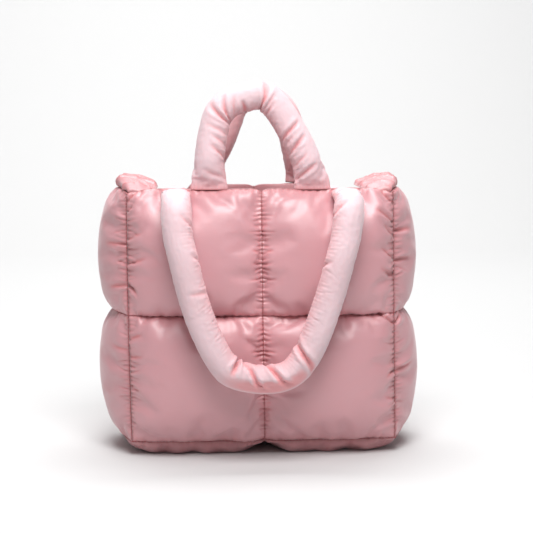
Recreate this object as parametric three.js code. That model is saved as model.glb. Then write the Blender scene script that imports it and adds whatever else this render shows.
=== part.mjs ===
// A soft quilted tote: a padded body of two rows of cushions, two short carry handles and two long
// shoulder straps. Millimetres, +Z up, the front faces -Y, and the origin is on the floor under the
// middle of the body.
import * as THREE from "three";

// Body, from corner seam to corner seam and from the floor to the rim
const PANEL_WIDTH = 286;
const PANEL_DEPTH = 130;
const BODY_HEIGHT = 291;
const BOTTOM_SEAM_HEIGHT = 18;
const MIDDLE_SEAM_HEIGHT = 156;
const MOUTH_NARROWING = 18; // how much nearer the two rims stand than the panels lower down

// Padding: how far a cushion stands proud of its seams, outside and on the lining side
const SEAM_THICKNESS = 4;
const SEAM_GAP = 0.3; // between two pads that are sewn together, and between other pieces that touch
const FRONT_LOFT = 26;
const GUSSET_LOFT = 20;
const BOTTOM_LOFT = 28;
const LINING_LOFT = 7;

// How far the seams themselves bow outwards at the middle of a panel
const FRONT_BOW = 10;
const GUSSET_BOW = 16;

// Carry handles
const HANDLE_DIAMETER = 32;
const HANDLE_SPACING = 112; // between the middles of the two feet
const HANDLE_RISE = 101; // from the rim to the middle of the tube at its top
const HANDLE_FOOT_WIDTH = 40;
const HANDLE_FOOT_THICKNESS = 8;
const HANDLE_FOOT_LENGTH = 34; // where the flat foot has become the round tube
const HANDLE_LEAN = 10; // how far the top leans in over the mouth

// Shoulder straps
const STRAP_DIAMETER = 31;
const STRAP_SPACING = 184; // between the middles of the two roots
const STRAP_DROP = 196; // from the rim to the middle of the tube at its lowest
const STRAP_ROOT_THICKNESS = 8;
const STRAP_ROOT_LENGTH = 50; // where the flat root has become the round tube
const FRONT_STRAP_BELOW_RIM = 5;
const BACK_STRAP_BELOW_RIM = 14;
const STRAP_CLEARANCE = 1; // between the hanging strap and the proudest cushion
const ROOT_DENT_FLAT = 22; // how far round a strap's root the cushion is sewn flat
const ROOT_DENT_REACH = 56; // how far round it the cushion is drawn in at all

// Unpadded tops of the gussets, gathered and folded in over the ends of the mouth
const FOLD_WIDTH = 42;
const FOLD_HEIGHT = 12;

// Mesh steps
const CELL_STEPS = 10; // along each side of one cushion
const TUBE_SIDES = 12;
const HANDLE_STEPS = 28;
const STRAP_STEPS = 44;
const FOLD_STEPS = 14;

// A cushion's outline from seam to crown: a superellipse. The lower its root, the steeper it rises
// from the seam, and the tighter the crevice between two cushions.
const CUSHION_POWER = 2.2;
const CUSHION_ROOT = 0.667;
const ROW_ROOT = 0.45; // of the outer sheet, between the rows of the front and back
const BOTTOM_ROOT = 0.37; // of the outer sheet, along the front and back of the bottom
const CENTRE_SEAM_SHARE = 0.35; // how much of the loft is left at the seam between two columns

// Seams that run round the body. The shares are of the front's and the gussets' bow and of the
// mouth's narrowing.
const SEAM_LEVELS = [
  { seam: "bottom", height: BOTTOM_SEAM_HEIGHT, frontBow: 0.45, gussetBow: 0.8, narrowing: 0 },
  { seam: "middle", height: MIDDLE_SEAM_HEIGHT, frontBow: 1.0, gussetBow: 1.0, narrowing: 0 },
  { seam: "rim", height: BODY_HEIGHT, frontBow: 0.8, gussetBow: 0.65, narrowing: 1 },
];

// Carry handle, from the left foot over the top: shares of half the spacing and of the rise
const HANDLE_ROUTE = [
  { across: -1.0, up: 0.0 },
  { across: -1.0, up: 0.2 },
  { across: -0.97, up: 0.42 },
  { across: -0.9, up: 0.63 },
  { across: -0.79, up: 0.81 },
  { across: -0.57, up: 0.92 },
  { across: -0.28, up: 0.98 },
  { across: 0.02, up: 1.0 },
  { across: 0.22, up: 0.93 },
  { across: 0.41, up: 0.8 },
  { across: 0.59, up: 0.64 },
  { across: 0.77, up: 0.46 },
  { across: 0.89, up: 0.29 },
  { across: 0.97, up: 0.13 },
  { across: 1.0, up: 0.0 },
];

// The handle on the back as seen from behind, in the same shares
const BACK_HANDLE_ROUTE = [
  { across: -0.95, up: 0.0 },
  { across: -0.94, up: 0.15 },
  { across: -0.88, up: 0.32 },
  { across: -0.82, up: 0.48 },
  { across: -0.73, up: 0.66 },
  { across: -0.58, up: 0.83 },
  { across: -0.3, up: 0.96 },
  { across: 0.0, up: 0.99 },
  { across: 0.24, up: 0.95 },
  { across: 0.42, up: 0.85 },
  { across: 0.55, up: 0.66 },
  { across: 0.7, up: 0.45 },
  { across: 0.91, up: 0.22 },
  { across: 1.0, up: 0.0 },
];

// Shoulder strap, from the left root down and round: shares of half the spacing, of the drop, and of
// the way out from the root to where the strap hangs clear of the cushions
const STRAP_ROUTE = [
  { across: -1.0, down: 0.0, out: 0.0 },
  { across: -1.0, down: 0.0, out: 0.28 },
  { across: -1.0, down: 0.03, out: 0.56 },
  { across: -1.0, down: 0.1, out: 0.8 },
  { across: -0.98, down: 0.22, out: 0.92 },
  { across: -0.92, down: 0.34, out: 1.0 },
  { across: -0.84, down: 0.5, out: 1.0 },
  { across: -0.72, down: 0.68, out: 1.0 },
  { across: -0.57, down: 0.84, out: 1.0 },
  { across: -0.41, down: 0.95, out: 1.0 },
  { across: -0.2, down: 0.99, out: 1.0 },
  { across: 0.07, down: 1.0, out: 1.0 },
  { across: 0.3, down: 0.97, out: 1.0 },
  { across: 0.47, down: 0.88, out: 1.0 },
  { across: 0.61, down: 0.74, out: 1.0 },
  { across: 0.76, down: 0.53, out: 1.0 },
  { across: 0.87, down: 0.34, out: 1.0 },
  { across: 0.94, down: 0.22, out: 0.92 },
  { across: 0.98, down: 0.1, out: 0.8 },
  { across: 1.0, down: 0.03, out: 0.56 },
  { across: 1.0, down: 0.0, out: 0.28 },
  { across: 1.0, down: 0.0, out: 0.0 },
];

// Creases in a tube: where along it, how deep and how long as shares of its radius and its length,
// and on which side, in degrees from the inside of the bend
const HANDLE_CREASES = [
  { along: 0.31, depth: 0.14, reach: 0.05, side: 0 },
  { along: 0.41, depth: 0.08, reach: 0.05, side: 40 },
  { along: 0.54, depth: 0.16, reach: 0.05, side: 0 },
  { along: 0.71, depth: 0.08, reach: 0.05, side: -30 },
];
const STRAP_CREASES = [
  { along: 0.26, depth: 0.1, reach: 0.03, side: 20 },
  { along: 0.41, depth: 0.2, reach: 0.035, side: 0 },
  { along: 0.49, depth: 0.12, reach: 0.035, side: 0 },
  { along: 0.58, depth: 0.2, reach: 0.035, side: 0 },
];

// Section of the folded gusset top: shares of its width, inwards from the gusset, and of its height
const FOLD_SECTION = [
  { inward: 0.0, up: 0.0 },
  { inward: -0.06, up: 0.3 },
  { inward: -0.06, up: 0.7 },
  { inward: 0.04, up: 0.95 },
  { inward: 0.2, up: 1.0 },
  { inward: 0.4, up: 0.9 },
  { inward: 0.6, up: 0.7 },
  { inward: 0.78, up: 0.46 },
  { inward: 0.93, up: 0.22 },
  { inward: 1.0, up: 0.0 },
  { inward: 0.5, up: 0.0 },
];

// The two sheets of a padded wall, by the way each stands off the seam
const OUTER = 1;
const LINING = -1;

const PINK = 0xe8b4bf;
const PINK_SHADE = 0xdfa3b0;

const halfSeam = SEAM_THICKNESS / 2;
const lerp = THREE.MathUtils.lerp;
const smooth = (share) => THREE.MathUtils.smoothstep(share, 0, 1);

// Level of the body at a share of a panel's height, where each row of cushions takes an equal share.
function levelAt(share) {
  const rows = SEAM_LEVELS.length - 1;
  const row = Math.min(Math.floor(share * rows), rows - 1);
  const within = share * rows - row;
  const [low, high] = [SEAM_LEVELS[row], SEAM_LEVELS[row + 1]];
  return {
    height: lerp(low.height, high.height, within),
    frontBow: FRONT_BOW * lerp(low.frontBow, high.frontBow, within),
    gussetBow: GUSSET_BOW * lerp(low.gussetBow, high.gussetBow, within),
    halfWidth: PANEL_WIDTH / 2,
    halfDepth: (PANEL_DEPTH - MOUTH_NARROWING * lerp(low.narrowing, high.narrowing, within)) / 2,
  };
}

// A cushion's height over its seams, 0 at a seam and 1 at the crown, at a share of its width.
function cushion(share, root = CUSHION_ROOT) {
  const fromCrown = Math.abs(2 * share - 1);
  return Math.pow(Math.max(0, 1 - Math.pow(fromCrown, CUSHION_POWER)), root);
}

// The same across a panel of several cushions, with the seams between two columns drawn in less far.
function columnsProfile(share, columns) {
  const cell = cushion((share * columns) % 1);
  const fromEdge = 1 - Math.pow(Math.abs(2 * share - 1), 8);
  return cell + CENTRE_SEAM_SHARE * (columns - 1) * (1 - cell) * fromEdge;
}

// 1 at the middle of a panel and 0 at its corner seams.
const bowShape = (share) => 1 - Math.pow(2 * share - 1, 2);

// How much of the loft is left near a strap's root, at a place on the panel that it is sewn to.
function rootDent(x, z, belowRim) {
  const away = Math.hypot(Math.abs(x) - STRAP_SPACING / 2, z - (BODY_HEIGHT - belowRim));
  return smooth((away - ROOT_DENT_FLAT) / (ROOT_DENT_REACH - ROOT_DENT_FLAT));
}

// Shares of a panel at which its mesh has a line: close together at the seams, wider at the crowns.
function meshShares(cells) {
  const shares = [0];
  for (let cell = 0; cell < cells; cell++)
    for (let step = 1; step <= CELL_STEPS; step++)
      shares.push((cell + 0.5 - 0.5 * Math.cos((Math.PI * step) / CELL_STEPS)) / cells);
  return shares;
}

// A closed solid between an outer and an inner sheet. place(u, v, layer) gives a point of a sheet.
function padGeometry(columns, rows, place) {
  const [across, up] = [meshShares(columns), meshShares(rows)];
  const positions = [];
  const faces = [];
  const index = (layer, i, j) => (layer * up.length + j) * across.length + i;
  for (const layer of [OUTER, LINING])
    for (const v of up) for (const u of across) positions.push(...place(u, v, layer));
  for (let j = 0; j < up.length - 1; j++)
    for (let i = 0; i < across.length - 1; i++) {
      const [a, b, c, d] = [[i, j], [i + 1, j], [i + 1, j + 1], [i, j + 1]];
      faces.push(index(0, ...a), index(0, ...b), index(0, ...c));
      faces.push(index(0, ...a), index(0, ...c), index(0, ...d));
      faces.push(index(1, ...a), index(1, ...c), index(1, ...b));
      faces.push(index(1, ...a), index(1, ...d), index(1, ...c));
    }
  for (const [p, q] of borderOf(across.length, up.length)) {
    faces.push(index(0, ...p), index(1, ...p), index(1, ...q));
    faces.push(index(0, ...p), index(1, ...q), index(0, ...q));
  }
  return meshGeometry(positions, faces);
}

// Neighbouring grid points round the border of a sheet, anticlockwise.
function borderOf(width, height) {
  const ring = [];
  for (let i = 0; i < width - 1; i++) ring.push([i, 0]);
  for (let j = 0; j < height - 1; j++) ring.push([width - 1, j]);
  for (let i = width - 1; i > 0; i--) ring.push([i, height - 1]);
  for (let j = height - 1; j > 0; j--) ring.push([0, j]);
  return ring.map((point, k) => [point, ring[(k + 1) % ring.length]]);
}

// A closed solid through rings of equally many points, with a flat cap at each end.
function loftGeometry(rings) {
  const sides = rings[0].length;
  const faces = [];
  const capPoint = (ring) => ring.reduce((sum, p) => sum.add(p), new THREE.Vector3()).divideScalar(sides);
  for (let r = 0; r < rings.length - 1; r++)
    for (let s = 0; s < sides; s++) {
      const t = (s + 1) % sides;
      const [a, b, c, d] = [r * sides + s, r * sides + t, (r + 1) * sides + t, (r + 1) * sides + s];
      faces.push(a, b, c, a, c, d);
    }
  const [first, last] = [rings.length * sides, rings.length * sides + 1];
  const lastRing = (rings.length - 1) * sides;
  for (let s = 0; s < sides; s++) {
    const t = (s + 1) % sides;
    faces.push(first, t, s, last, lastRing + s, lastRing + t);
  }
  const caps = [capPoint(rings[0]), capPoint(rings[rings.length - 1])];
  const positions = [...rings.flat(), ...caps].flatMap((p) => p.toArray());
  return meshGeometry(positions, faces);
}

// A geometry whose faces point outwards, from points and triangles that are all turned one way.
function meshGeometry(positions, faces) {
  const corner = (k) => new THREE.Vector3().fromArray(positions, 3 * faces[k]);
  let volume = 0;
  for (let k = 0; k < faces.length; k += 3)
    volume += corner(k).dot(corner(k + 1).cross(corner(k + 2)));
  if (volume < 0)
    for (let k = 0; k < faces.length; k += 3) [faces[k + 1], faces[k + 2]] = [faces[k + 2], faces[k + 1]];
  const geometry = new THREE.BufferGeometry();
  geometry.setAttribute("position", new THREE.Float32BufferAttribute(positions, 3));
  geometry.setIndex(faces);
  geometry.computeVertexNormals();
  return geometry;
}

// How far a sheet reaches past the seam line: pads that meet at a corner are mitred there.
const reachOf = (layer) => layer * halfSeam - SEAM_GAP;

// Height of a sheet of a wall panel, which is mitred to the bottom panel and ends flat at the rim.
function wallHeight(share, layer) {
  const level = levelAt(share).height;
  const lowest = SEAM_LEVELS[0].height;
  return level - reachOf(layer) * Math.max(0, 1 - (level - lowest) / SEAM_THICKNESS);
}

// How far a cushion stands out from the seam sheet, outwards positive.
function liftOf(layer, loft, across, along) {
  return (layer === OUTER ? loft : LINING_LOFT) * across * along;
}

// How far a panel with a strap is from the bag's middle plane at a place on it.
function panelSurface(u, v, layer, belowRim) {
  const level = levelAt(v);
  const x = (2 * u - 1) * (level.halfWidth + reachOf(layer));
  const z = wallHeight(v, layer);
  const rows = SEAM_LEVELS.length - 1;
  const up = cushion((v * rows) % 1, layer === OUTER ? ROW_ROOT : CUSHION_ROOT);
  const lift = liftOf(layer, FRONT_LOFT * rootDent(x, z, belowRim), columnsProfile(u, 2), up);
  return { x, z, out: level.halfDepth + level.frontBow * bowShape(u) + layer * (halfSeam + lift) };
}

// Front panel, and turned half round the back panel, by how far below the rim its strap is sewn on.
function frontPanel(belowRim) {
  return padGeometry(2, SEAM_LEVELS.length - 1, (u, v, layer) => {
    const { x, z, out } = panelSurface(u, v, layer, belowRim);
    return [x, -out, z];
  });
}

// Gusset on the left, and turned half round the one on the right.
function gusset() {
  const rows = SEAM_LEVELS.length - 1;
  return padGeometry(1, rows, (u, v, layer) => {
    const level = levelAt(v);
    const lift = liftOf(layer, GUSSET_LOFT, cushion(u), cushion((v * rows) % 1));
    const out = level.halfWidth + level.gussetBow * bowShape(u) + layer * (halfSeam + lift);
    return [-out, (1 - 2 * u) * (level.halfDepth + reachOf(layer)), wallHeight(v, layer)];
  });
}

// Bottom panel: two cushions side by side, pressed flat where they stand on the floor.
function bottomPanel() {
  const { halfWidth, halfDepth, height, frontBow, gussetBow } = levelAt(0);
  return padGeometry(2, 1, (u, v, layer) => {
    const along = cushion(v, layer === OUTER ? BOTTOM_ROOT : CUSHION_ROOT);
    const lift = liftOf(layer, BOTTOM_LOFT, cushion((u * 2) % 1), along);
    const x = (2 * u - 1) * (halfWidth + reachOf(layer) + gussetBow * bowShape(v));
    const y = (2 * v - 1) * (halfDepth + reachOf(layer) + frontBow * bowShape(u));
    return [x, y, Math.max(0, height - layer * (halfSeam + lift))];
  });
}

// Frames along a curve that turn as little as they can, starting with the given side.
function framesAlong(curve, steps, startSide) {
  const frames = [];
  const side = startSide.clone();
  for (let step = 0; step <= steps; step++) {
    const at = curve.getPointAt(step / steps);
    const tangent = curve.getTangentAt(step / steps);
    side.addScaledVector(tangent, -side.dot(tangent)).normalize();
    const face = new THREE.Vector3().crossVectors(tangent, side);
    frames.push({ share: step / steps, at, side: side.clone(), face });
  }
  return frames;
}

// How much of a tube's radius is left at a share of its length and an angle from the bend's inside.
function creaseShare(creases, share, degrees) {
  return creases.reduce((left, { along, depth, reach, side }) => {
    const near = Math.max(0, 1 - Math.pow((share - along) / reach, 2));
    const facing = Math.max(0, Math.cos(THREE.MathUtils.degToRad(degrees - side)));
    return left * (1 - depth * near * facing);
  }, 1);
}

// A stuffed tube with flat sewn ends. ends gives their width, thickness and length, and inside the
// side of the bend's inside: 1 along the frame's side, -1 against it.
function stuffedTube(curve, steps, startSide, diameter, ends, creases, inside) {
  const length = curve.getLength();
  const rings = framesAlong(curve, steps, startSide).map(({ share, at, side, face }) => {
    const round = smooth((Math.min(share, 1 - share) * length) / ends.length);
    const halfWidth = lerp(ends.width, diameter, round) / 2;
    const halfThickness = lerp(ends.thickness, diameter, round) / 2;
    return Array.from({ length: TUBE_SIDES }, (_, k) => {
      const angle = (2 * Math.PI * k) / TUBE_SIDES;
      const left = creaseShare(creases, share, THREE.MathUtils.radToDeg(angle) - (inside < 0 ? 180 : 0));
      return at
        .clone()
        .addScaledVector(side, halfWidth * Math.cos(angle) * left)
        .addScaledVector(face, halfThickness * Math.sin(angle) * left);
    });
  });
  return loftGeometry(rings);
}

// Rim of the front panel at a place across it: how far out its middle stands.
function rimOut(x) {
  const level = levelAt(1);
  return level.halfDepth + level.frontBow * bowShape(0.5 + x / (2 * level.halfWidth));
}

// Carry handle on the front rim, by its route.
function carryHandle(shares) {
  const half = HANDLE_SPACING / 2;
  const foot = BODY_HEIGHT + SEAM_GAP;
  const out = rimOut(half);
  const route = shares.map(
    ({ across, up }) =>
      new THREE.Vector3(across * half, -out + HANDLE_LEAN * smooth(up), foot + up * HANDLE_RISE),
  );
  const curve = new THREE.CatmullRomCurve3(route, false, "centripetal");
  const ends = { width: HANDLE_FOOT_WIDTH, thickness: HANDLE_FOOT_THICKNESS, length: HANDLE_FOOT_LENGTH };
  const side = new THREE.Vector3(1, 0, 0);
  const rough = stuffedTube(curve, HANDLE_STEPS, side, HANDLE_DIAMETER, ends, HANDLE_CREASES, 1);
  return restOn(rough, foot);
}

// Points below a level are lifted onto it, so that a foot is cut off flat by what it stands on.
function restOn(geometry, level) {
  const position = geometry.getAttribute("position");
  for (let k = 0; k < position.count; k++) if (position.getZ(k) < level) position.setZ(k, level);
  return geometry;
}

// How far out a panel's face is at a place on it, from its height and not from its share.
function faceOut(x, z, belowRim) {
  const row = SEAM_LEVELS.findIndex((level, k) => k > 0 && (z <= level.height || level.seam === "rim"));
  const [low, high] = [SEAM_LEVELS[row - 1].height, SEAM_LEVELS[row].height];
  const v = (row - 1 + Math.min(1, Math.max(0, (z - low) / (high - low)))) / (SEAM_LEVELS.length - 1);
  const u = Math.min(1, Math.max(0, 0.5 + x / PANEL_WIDTH));
  return panelSurface(u, v, OUTER, belowRim).out;
}

// Shoulder strap, hanging down the front, by how far below the rim it is sewn on.
function shoulderStrap(belowRim) {
  const half = STRAP_SPACING / 2;
  const top = BODY_HEIGHT - belowRim;
  const root = faceOut(half, top, belowRim) + SEAM_GAP;
  const proudest = PANEL_DEPTH / 2 + FRONT_BOW + halfSeam + FRONT_LOFT;
  const hanging = proudest + STRAP_CLEARANCE + STRAP_DIAMETER / 2;
  const drop = STRAP_DROP - belowRim;
  const route = STRAP_ROUTE.map(
    ({ across, down, out }) => new THREE.Vector3(across * half, -lerp(root, hanging, out), top - down * drop),
  );
  const curve = new THREE.CatmullRomCurve3(route, false, "centripetal");
  const ends = { width: STRAP_DIAMETER, thickness: STRAP_ROOT_THICKNESS, length: STRAP_ROOT_LENGTH };
  const side = new THREE.Vector3(1, 0, 0);
  const rough = stuffedTube(curve, STRAP_STEPS, side, STRAP_DIAMETER, ends, STRAP_CREASES, 1);
  return keepInFront(rough, belowRim);
}

// Points that would lie in the panel behind a strap are brought out onto its face.
function keepInFront(geometry, belowRim) {
  const position = geometry.getAttribute("position");
  for (let k = 0; k < position.count; k++) {
    const face = -faceOut(position.getX(k), position.getZ(k), belowRim) - SEAM_GAP;
    if (position.getY(k) > face) position.setY(k, face);
  }
  return geometry;
}

// Folded top of the left gusset: a gathered roll on the gusset's rim, thinnest at the two corners.
function gussetFold() {
  const level = levelAt(1);
  const base = BODY_HEIGHT + SEAM_GAP;
  const rings = [];
  for (let step = 0; step <= FOLD_STEPS; step++) {
    const along = (2 * step) / FOLD_STEPS - 1;
    const full = lerp(0.3, 1, Math.sqrt(1 - along * along));
    const edge = level.halfWidth + level.gussetBow * (1 - along * along) + halfSeam;
    const outer = edge - FOLD_WIDTH * 0.06;
    rings.push(
      FOLD_SECTION.map(({ inward, up }) => {
        const x = -outer + inward * FOLD_WIDTH * full;
        return new THREE.Vector3(x, along * (level.halfDepth - halfSeam), base + up * FOLD_HEIGHT * full);
      }),
    );
  }
  return loftGeometry(rings);
}

function cloth(color) {
  return new THREE.MeshStandardMaterial({ color, roughness: 0.55, metalness: 0 });
}

function piece(name, geometry, color, turned = false) {
  const mesh = new THREE.Mesh(geometry, cloth(color));
  mesh.name = name;
  if (turned) mesh.rotation.z = Math.PI;
  return mesh;
}

const tote = new THREE.Group();
tote.add(
  piece("front_panel", frontPanel(FRONT_STRAP_BELOW_RIM), PINK),
  piece("back_panel", frontPanel(BACK_STRAP_BELOW_RIM), PINK, true),
  piece("left_gusset", gusset(), PINK),
  piece("right_gusset", gusset(), PINK, true),
  piece("bottom_panel", bottomPanel(), PINK_SHADE),
  piece("left_gusset_fold", gussetFold(), PINK_SHADE),
  piece("right_gusset_fold", gussetFold(), PINK_SHADE, true),
  piece("front_handle", carryHandle(HANDLE_ROUTE), PINK),
  piece("back_handle", carryHandle(BACK_HANDLE_ROUTE), PINK, true),
  piece("front_strap", shoulderStrap(FRONT_STRAP_BELOW_RIM), PINK),
  piece("back_strap", shoulderStrap(BACK_STRAP_BELOW_RIM), PINK, true),
);

export default tote;
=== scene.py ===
"""Dresses the quilted tote in pale pink nylon.

The walls are padded cushions and the handles and straps stuffed tubes, all blown up by a cloth
simulation and then gathered along their seams. Metres, in the frame's own axes: +Z up, front on -Y.
"""

from __future__ import annotations

import logging
import math
from collections.abc import Callable, Sequence
from dataclasses import dataclass, field
from enum import Enum

import bpy
import numpy as np
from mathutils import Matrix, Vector


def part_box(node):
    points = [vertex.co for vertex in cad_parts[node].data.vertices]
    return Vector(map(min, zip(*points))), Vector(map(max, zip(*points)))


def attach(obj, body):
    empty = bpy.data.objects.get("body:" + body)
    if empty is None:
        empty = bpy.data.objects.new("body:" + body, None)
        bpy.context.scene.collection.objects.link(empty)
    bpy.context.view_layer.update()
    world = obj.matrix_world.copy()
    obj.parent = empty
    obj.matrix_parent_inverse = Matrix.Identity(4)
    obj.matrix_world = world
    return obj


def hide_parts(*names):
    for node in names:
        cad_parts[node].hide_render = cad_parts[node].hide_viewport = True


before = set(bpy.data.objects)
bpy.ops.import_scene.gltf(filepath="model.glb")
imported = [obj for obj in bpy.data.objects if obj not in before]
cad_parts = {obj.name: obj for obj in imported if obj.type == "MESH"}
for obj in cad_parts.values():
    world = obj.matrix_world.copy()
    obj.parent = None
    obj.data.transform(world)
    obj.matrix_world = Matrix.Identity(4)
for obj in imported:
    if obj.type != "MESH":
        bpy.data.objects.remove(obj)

LOG = logging.getLogger("tote")
HALF_TURN = (-1.0, -1.0, 1.0)
MM = 0.001
BODY = "root"

Array = np.ndarray
Colour = tuple[float, float, float]
Inputs = dict[str | int, object]


class Wall(Enum):
    """The padded walls of the body, by the CAD node that each one stands for."""

    FRONT = "front_panel"
    BACK = "back_panel"
    LEFT = "left_gusset"
    RIGHT = "right_gusset"
    BOTTOM = "bottom_panel"


class Layer(Enum):
    """The two faces of a padded wall. The value is the way it stands off the seam sheet."""

    OUTER = 1
    LINING = -1


class Slot(Enum):
    """The record's material slots."""

    SHELL = "quilted_shell"
    BOTTOM = "bottom_shell"
    TUBE = "handle_tube"


@dataclass(frozen=True)
class BodySizes:
    """Sizes of the body's seam lines, padding and sag, in metres."""

    half_width: float
    half_depth: float
    rim_half_depth: float
    bottom_seam: float
    rim: float
    seam_half: float = 2 * MM
    seam_gap: float = 0.3 * MM
    middle_share: float = 0.5055
    front_bow: float = 10 * MM
    gusset_bow: float = 16 * MM
    front_loft: float = 26 * MM
    gusset_loft: float = 20 * MM
    bottom_loft: float = 28 * MM
    lining_loft: float = 7 * MM
    sag: float = 7 * MM
    sag_reach: float = 16 * MM
    sway: float = 3.5 * MM

    @classmethod
    def from_frame(cls) -> BodySizes:
        """Reads the seam lines from the CAD nodes' boxes.

        Returns:
            The sizes, with each pad's mitred edge taken off its box.
        """
        mitre = cls.seam_half - cls.seam_gap
        low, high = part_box(Wall.FRONT.value)
        _, side_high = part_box(Wall.LEFT.value)
        _, fold_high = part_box("left_gusset_fold")
        return cls(
            half_width=high[0] - mitre,
            half_depth=side_high[1] - mitre,
            rim_half_depth=fold_high[1] + cls.seam_half,
            bottom_seam=low[2] + mitre,
            rim=high[2],
        )

    @property
    def middle_seam(self) -> float:
        """Height of the seam between the two rows of cushions."""
        return self.bottom_seam + self.middle_share * (self.rim - self.bottom_seam)

    def heights(self, v: Array) -> Array:
        """Heights at shares of a wall, where both rows of cushions take half."""
        return np.interp(v, [0, 0.5, 1], [self.bottom_seam, self.middle_seam, self.rim])

    def half_depths(self, v: Array) -> Array:
        """Half the body's depth between its corner seams at shares of the height."""
        return np.interp(v, [0, 0.5, 1], [self.half_depth, self.half_depth, self.rim_half_depth])

    def swayed(self, v: Array | float) -> Array | float:
        """How far the body has sunk to its right at shares of the height."""
        return self.sway * (1 - v) ** 2


HANDLE_ACROSS = 56 * MM
STRAP_ACROSS = 92 * MM
STRAP_BELOW = {Wall.FRONT: 5 * MM, Wall.BACK: 14 * MM}
FRONT_BOWS = (0.45, 1.0, 0.8)
GUSSET_BOWS = (0.8, 1.0, 0.65)
SEAM_CROWDING = 0.35
FORM_SHARE = 0.9
CUSHION_POWER = 2.2
CUSHION_ROOT = 0.667
ROW_ROOT = 0.45
BOTTOM_ROOT = 0.37
CENTRE_SEAM_SHARE = 0.35


def cushion(share: Array, root: float = CUSHION_ROOT) -> Array:
    """Height of a cushion over its seams, from 0 at a seam to 1 at the crown."""
    return np.maximum(0, 1 - np.abs(2 * share - 1) ** CUSHION_POWER) ** root


def bow_shape(share: Array) -> Array:
    """How far a wall bows outwards, from 0 at its corners to 1 in the middle."""
    return 1 - (2 * share - 1) ** 2


def smooth(share: Array) -> Array:
    """A smooth step from 0 to 1."""
    held = np.clip(share, 0, 1)
    return held * held * (3 - 2 * held)


def cell_share(share: Array, cells: int) -> Array:
    """Share of its own cushion at a share of the whole wall, 0 on every seam."""
    return np.where(share >= 1, 0.0, (share * cells) % 1)


def seam_shares(cells: int, step: float, length: float) -> Array:
    """Shares along a wall for its grid lines, somewhat closer together at the seams.

    Args:
        cells: Number of cushions along the wall.
        step: Wanted distance between the lines.
        length: Length of the wall.

    Returns:
        The shares, from 0 to 1, with a line on each seam.
    """
    per_cell = max(4, round(length / cells / step))
    even = np.arange(per_cell) / per_cell
    eased = even * (1 - SEAM_CROWDING) + (0.5 - 0.5 * np.cos(np.pi * even)) * SEAM_CROWDING
    return np.append(np.concatenate([(cell + eased) / cells for cell in range(cells)]), 1.0)


def between(p0: Array, p1: Array, p2: Array, p3: Array, t: float) -> Array:
    """A point at a share t of the way from p1 to p2 on the smooth curve through all four."""
    bend = (2 * p0 - 5 * p1 + 4 * p2 - p3) * t * t + (3 * p1 - p0 - 3 * p2 + p3) * t**3
    return p1 + 0.5 * ((p2 - p0) * t + bend)


def refine(grid: Array, cells: int, axis: int, factor: int) -> Array:
    """Adds grid lines between the given ones on smooth curves that break at the seams.

    Args:
        grid: Points, with a seam on the first and last line and between cells.
        cells: Number of cushions along the axis.
        axis: Axis of the grid along which lines are added.
        factor: How many steps each step becomes.

    Returns:
        The finer grid.
    """
    points = np.moveaxis(grid, axis, 0)
    per_cell = (len(points) - 1) // cells
    out = np.empty((cells * per_cell * factor + 1, *points.shape[1:]))
    for cell in range(cells):
        run = points[cell * per_cell : (cell + 1) * per_cell + 1]
        before = 2 * run[0] - run[1]
        after = 2 * run[-1] - run[-2]
        run = np.concatenate([before[None], run, after[None]])
        for k in range(factor):
            start = cell * per_cell * factor + k
            part = between(run[:-3], run[1:-2], run[2:-1], run[3:], k / factor)
            out[start : start + per_cell * factor : factor] = part
    out[-1] = points[-1]
    return np.moveaxis(out, 0, axis)


def refine_ring(grid: Array, factor: int) -> Array:
    """Adds grid lines round a closed grid, whose first axis 1 line follows its last.

    Args:
        grid: Points, axis 0 along the tube and axis 1 round it.
        factor: How many steps each step becomes.

    Returns:
        The finer grid.
    """
    p0, p1 = np.roll(grid, 1, axis=1), grid
    p2, p3 = np.roll(grid, -1, axis=1), np.roll(grid, -2, axis=1)
    out = np.empty((grid.shape[0], grid.shape[1] * factor, 3))
    for k in range(factor):
        out[:, k::factor] = between(p0, p1, p2, p3, k / factor)
    return out


def relax(grid: Array, free: Array, rounds: int, closed: bool = False) -> Array:
    """Evens out a grid's points where they are free.

    Args:
        grid: Points.
        free: True for points that may move.
        rounds: How often each point moves halfway to its neighbours' middle.
        closed: Whether axis 1 closes on itself.

    Returns:
        The smoother grid.
    """
    out = grid.copy()
    for _ in range(rounds):
        pad = np.concatenate([out[:1], out, out[-1:]])
        sides = np.roll(out, 1, 1) + np.roll(out, -1, 1)
        if not closed:
            sides[:, 0] = out[:, 0] + out[:, 1]
            sides[:, -1] = out[:, -1] + out[:, -2]
        middle = (pad[:-2] + pad[2:] + sides) / 4
        out = np.where(free[..., None], 0.5 * (out + middle), out)
    return out


def keep_form(blown: Array, form: Array, free: Array, closed: bool = False) -> Array:
    """Brings blown-up cloth back to a form without taking its wrinkles away.

    Args:
        blown: Points after the simulation.
        form: The same points on the smooth form.
        free: True for points that may move.
        closed: Whether axis 1 closes on itself.

    Returns:
        The cloth on the form.
    """
    return blown + FORM_SHARE * relax(form - blown, free, 50, closed)


def grid_normals(grid: Array, closed: bool = False) -> Array:
    """Unit normals of a grid, by its differences along both axes.

    Args:
        grid: Points.
        closed: Whether axis 1 closes on itself.

    Returns:
        One normal for each point, of axis 1 crossed with axis 0.
    """
    if closed:
        across = np.roll(grid, -1, 1) - np.roll(grid, 1, 1)
    else:
        across = np.gradient(grid, axis=1)
    normal = np.cross(across, np.gradient(grid, axis=0))
    return normal / np.maximum(np.linalg.norm(normal, axis=-1, keepdims=True), 1e-12)


def raise_relief(grid: Array, relief: Array, closed: bool = False) -> Array:
    """Moves each point of a grid along its normal by the relief."""
    return grid + grid_normals(grid, closed) * relief[..., None]


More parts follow.
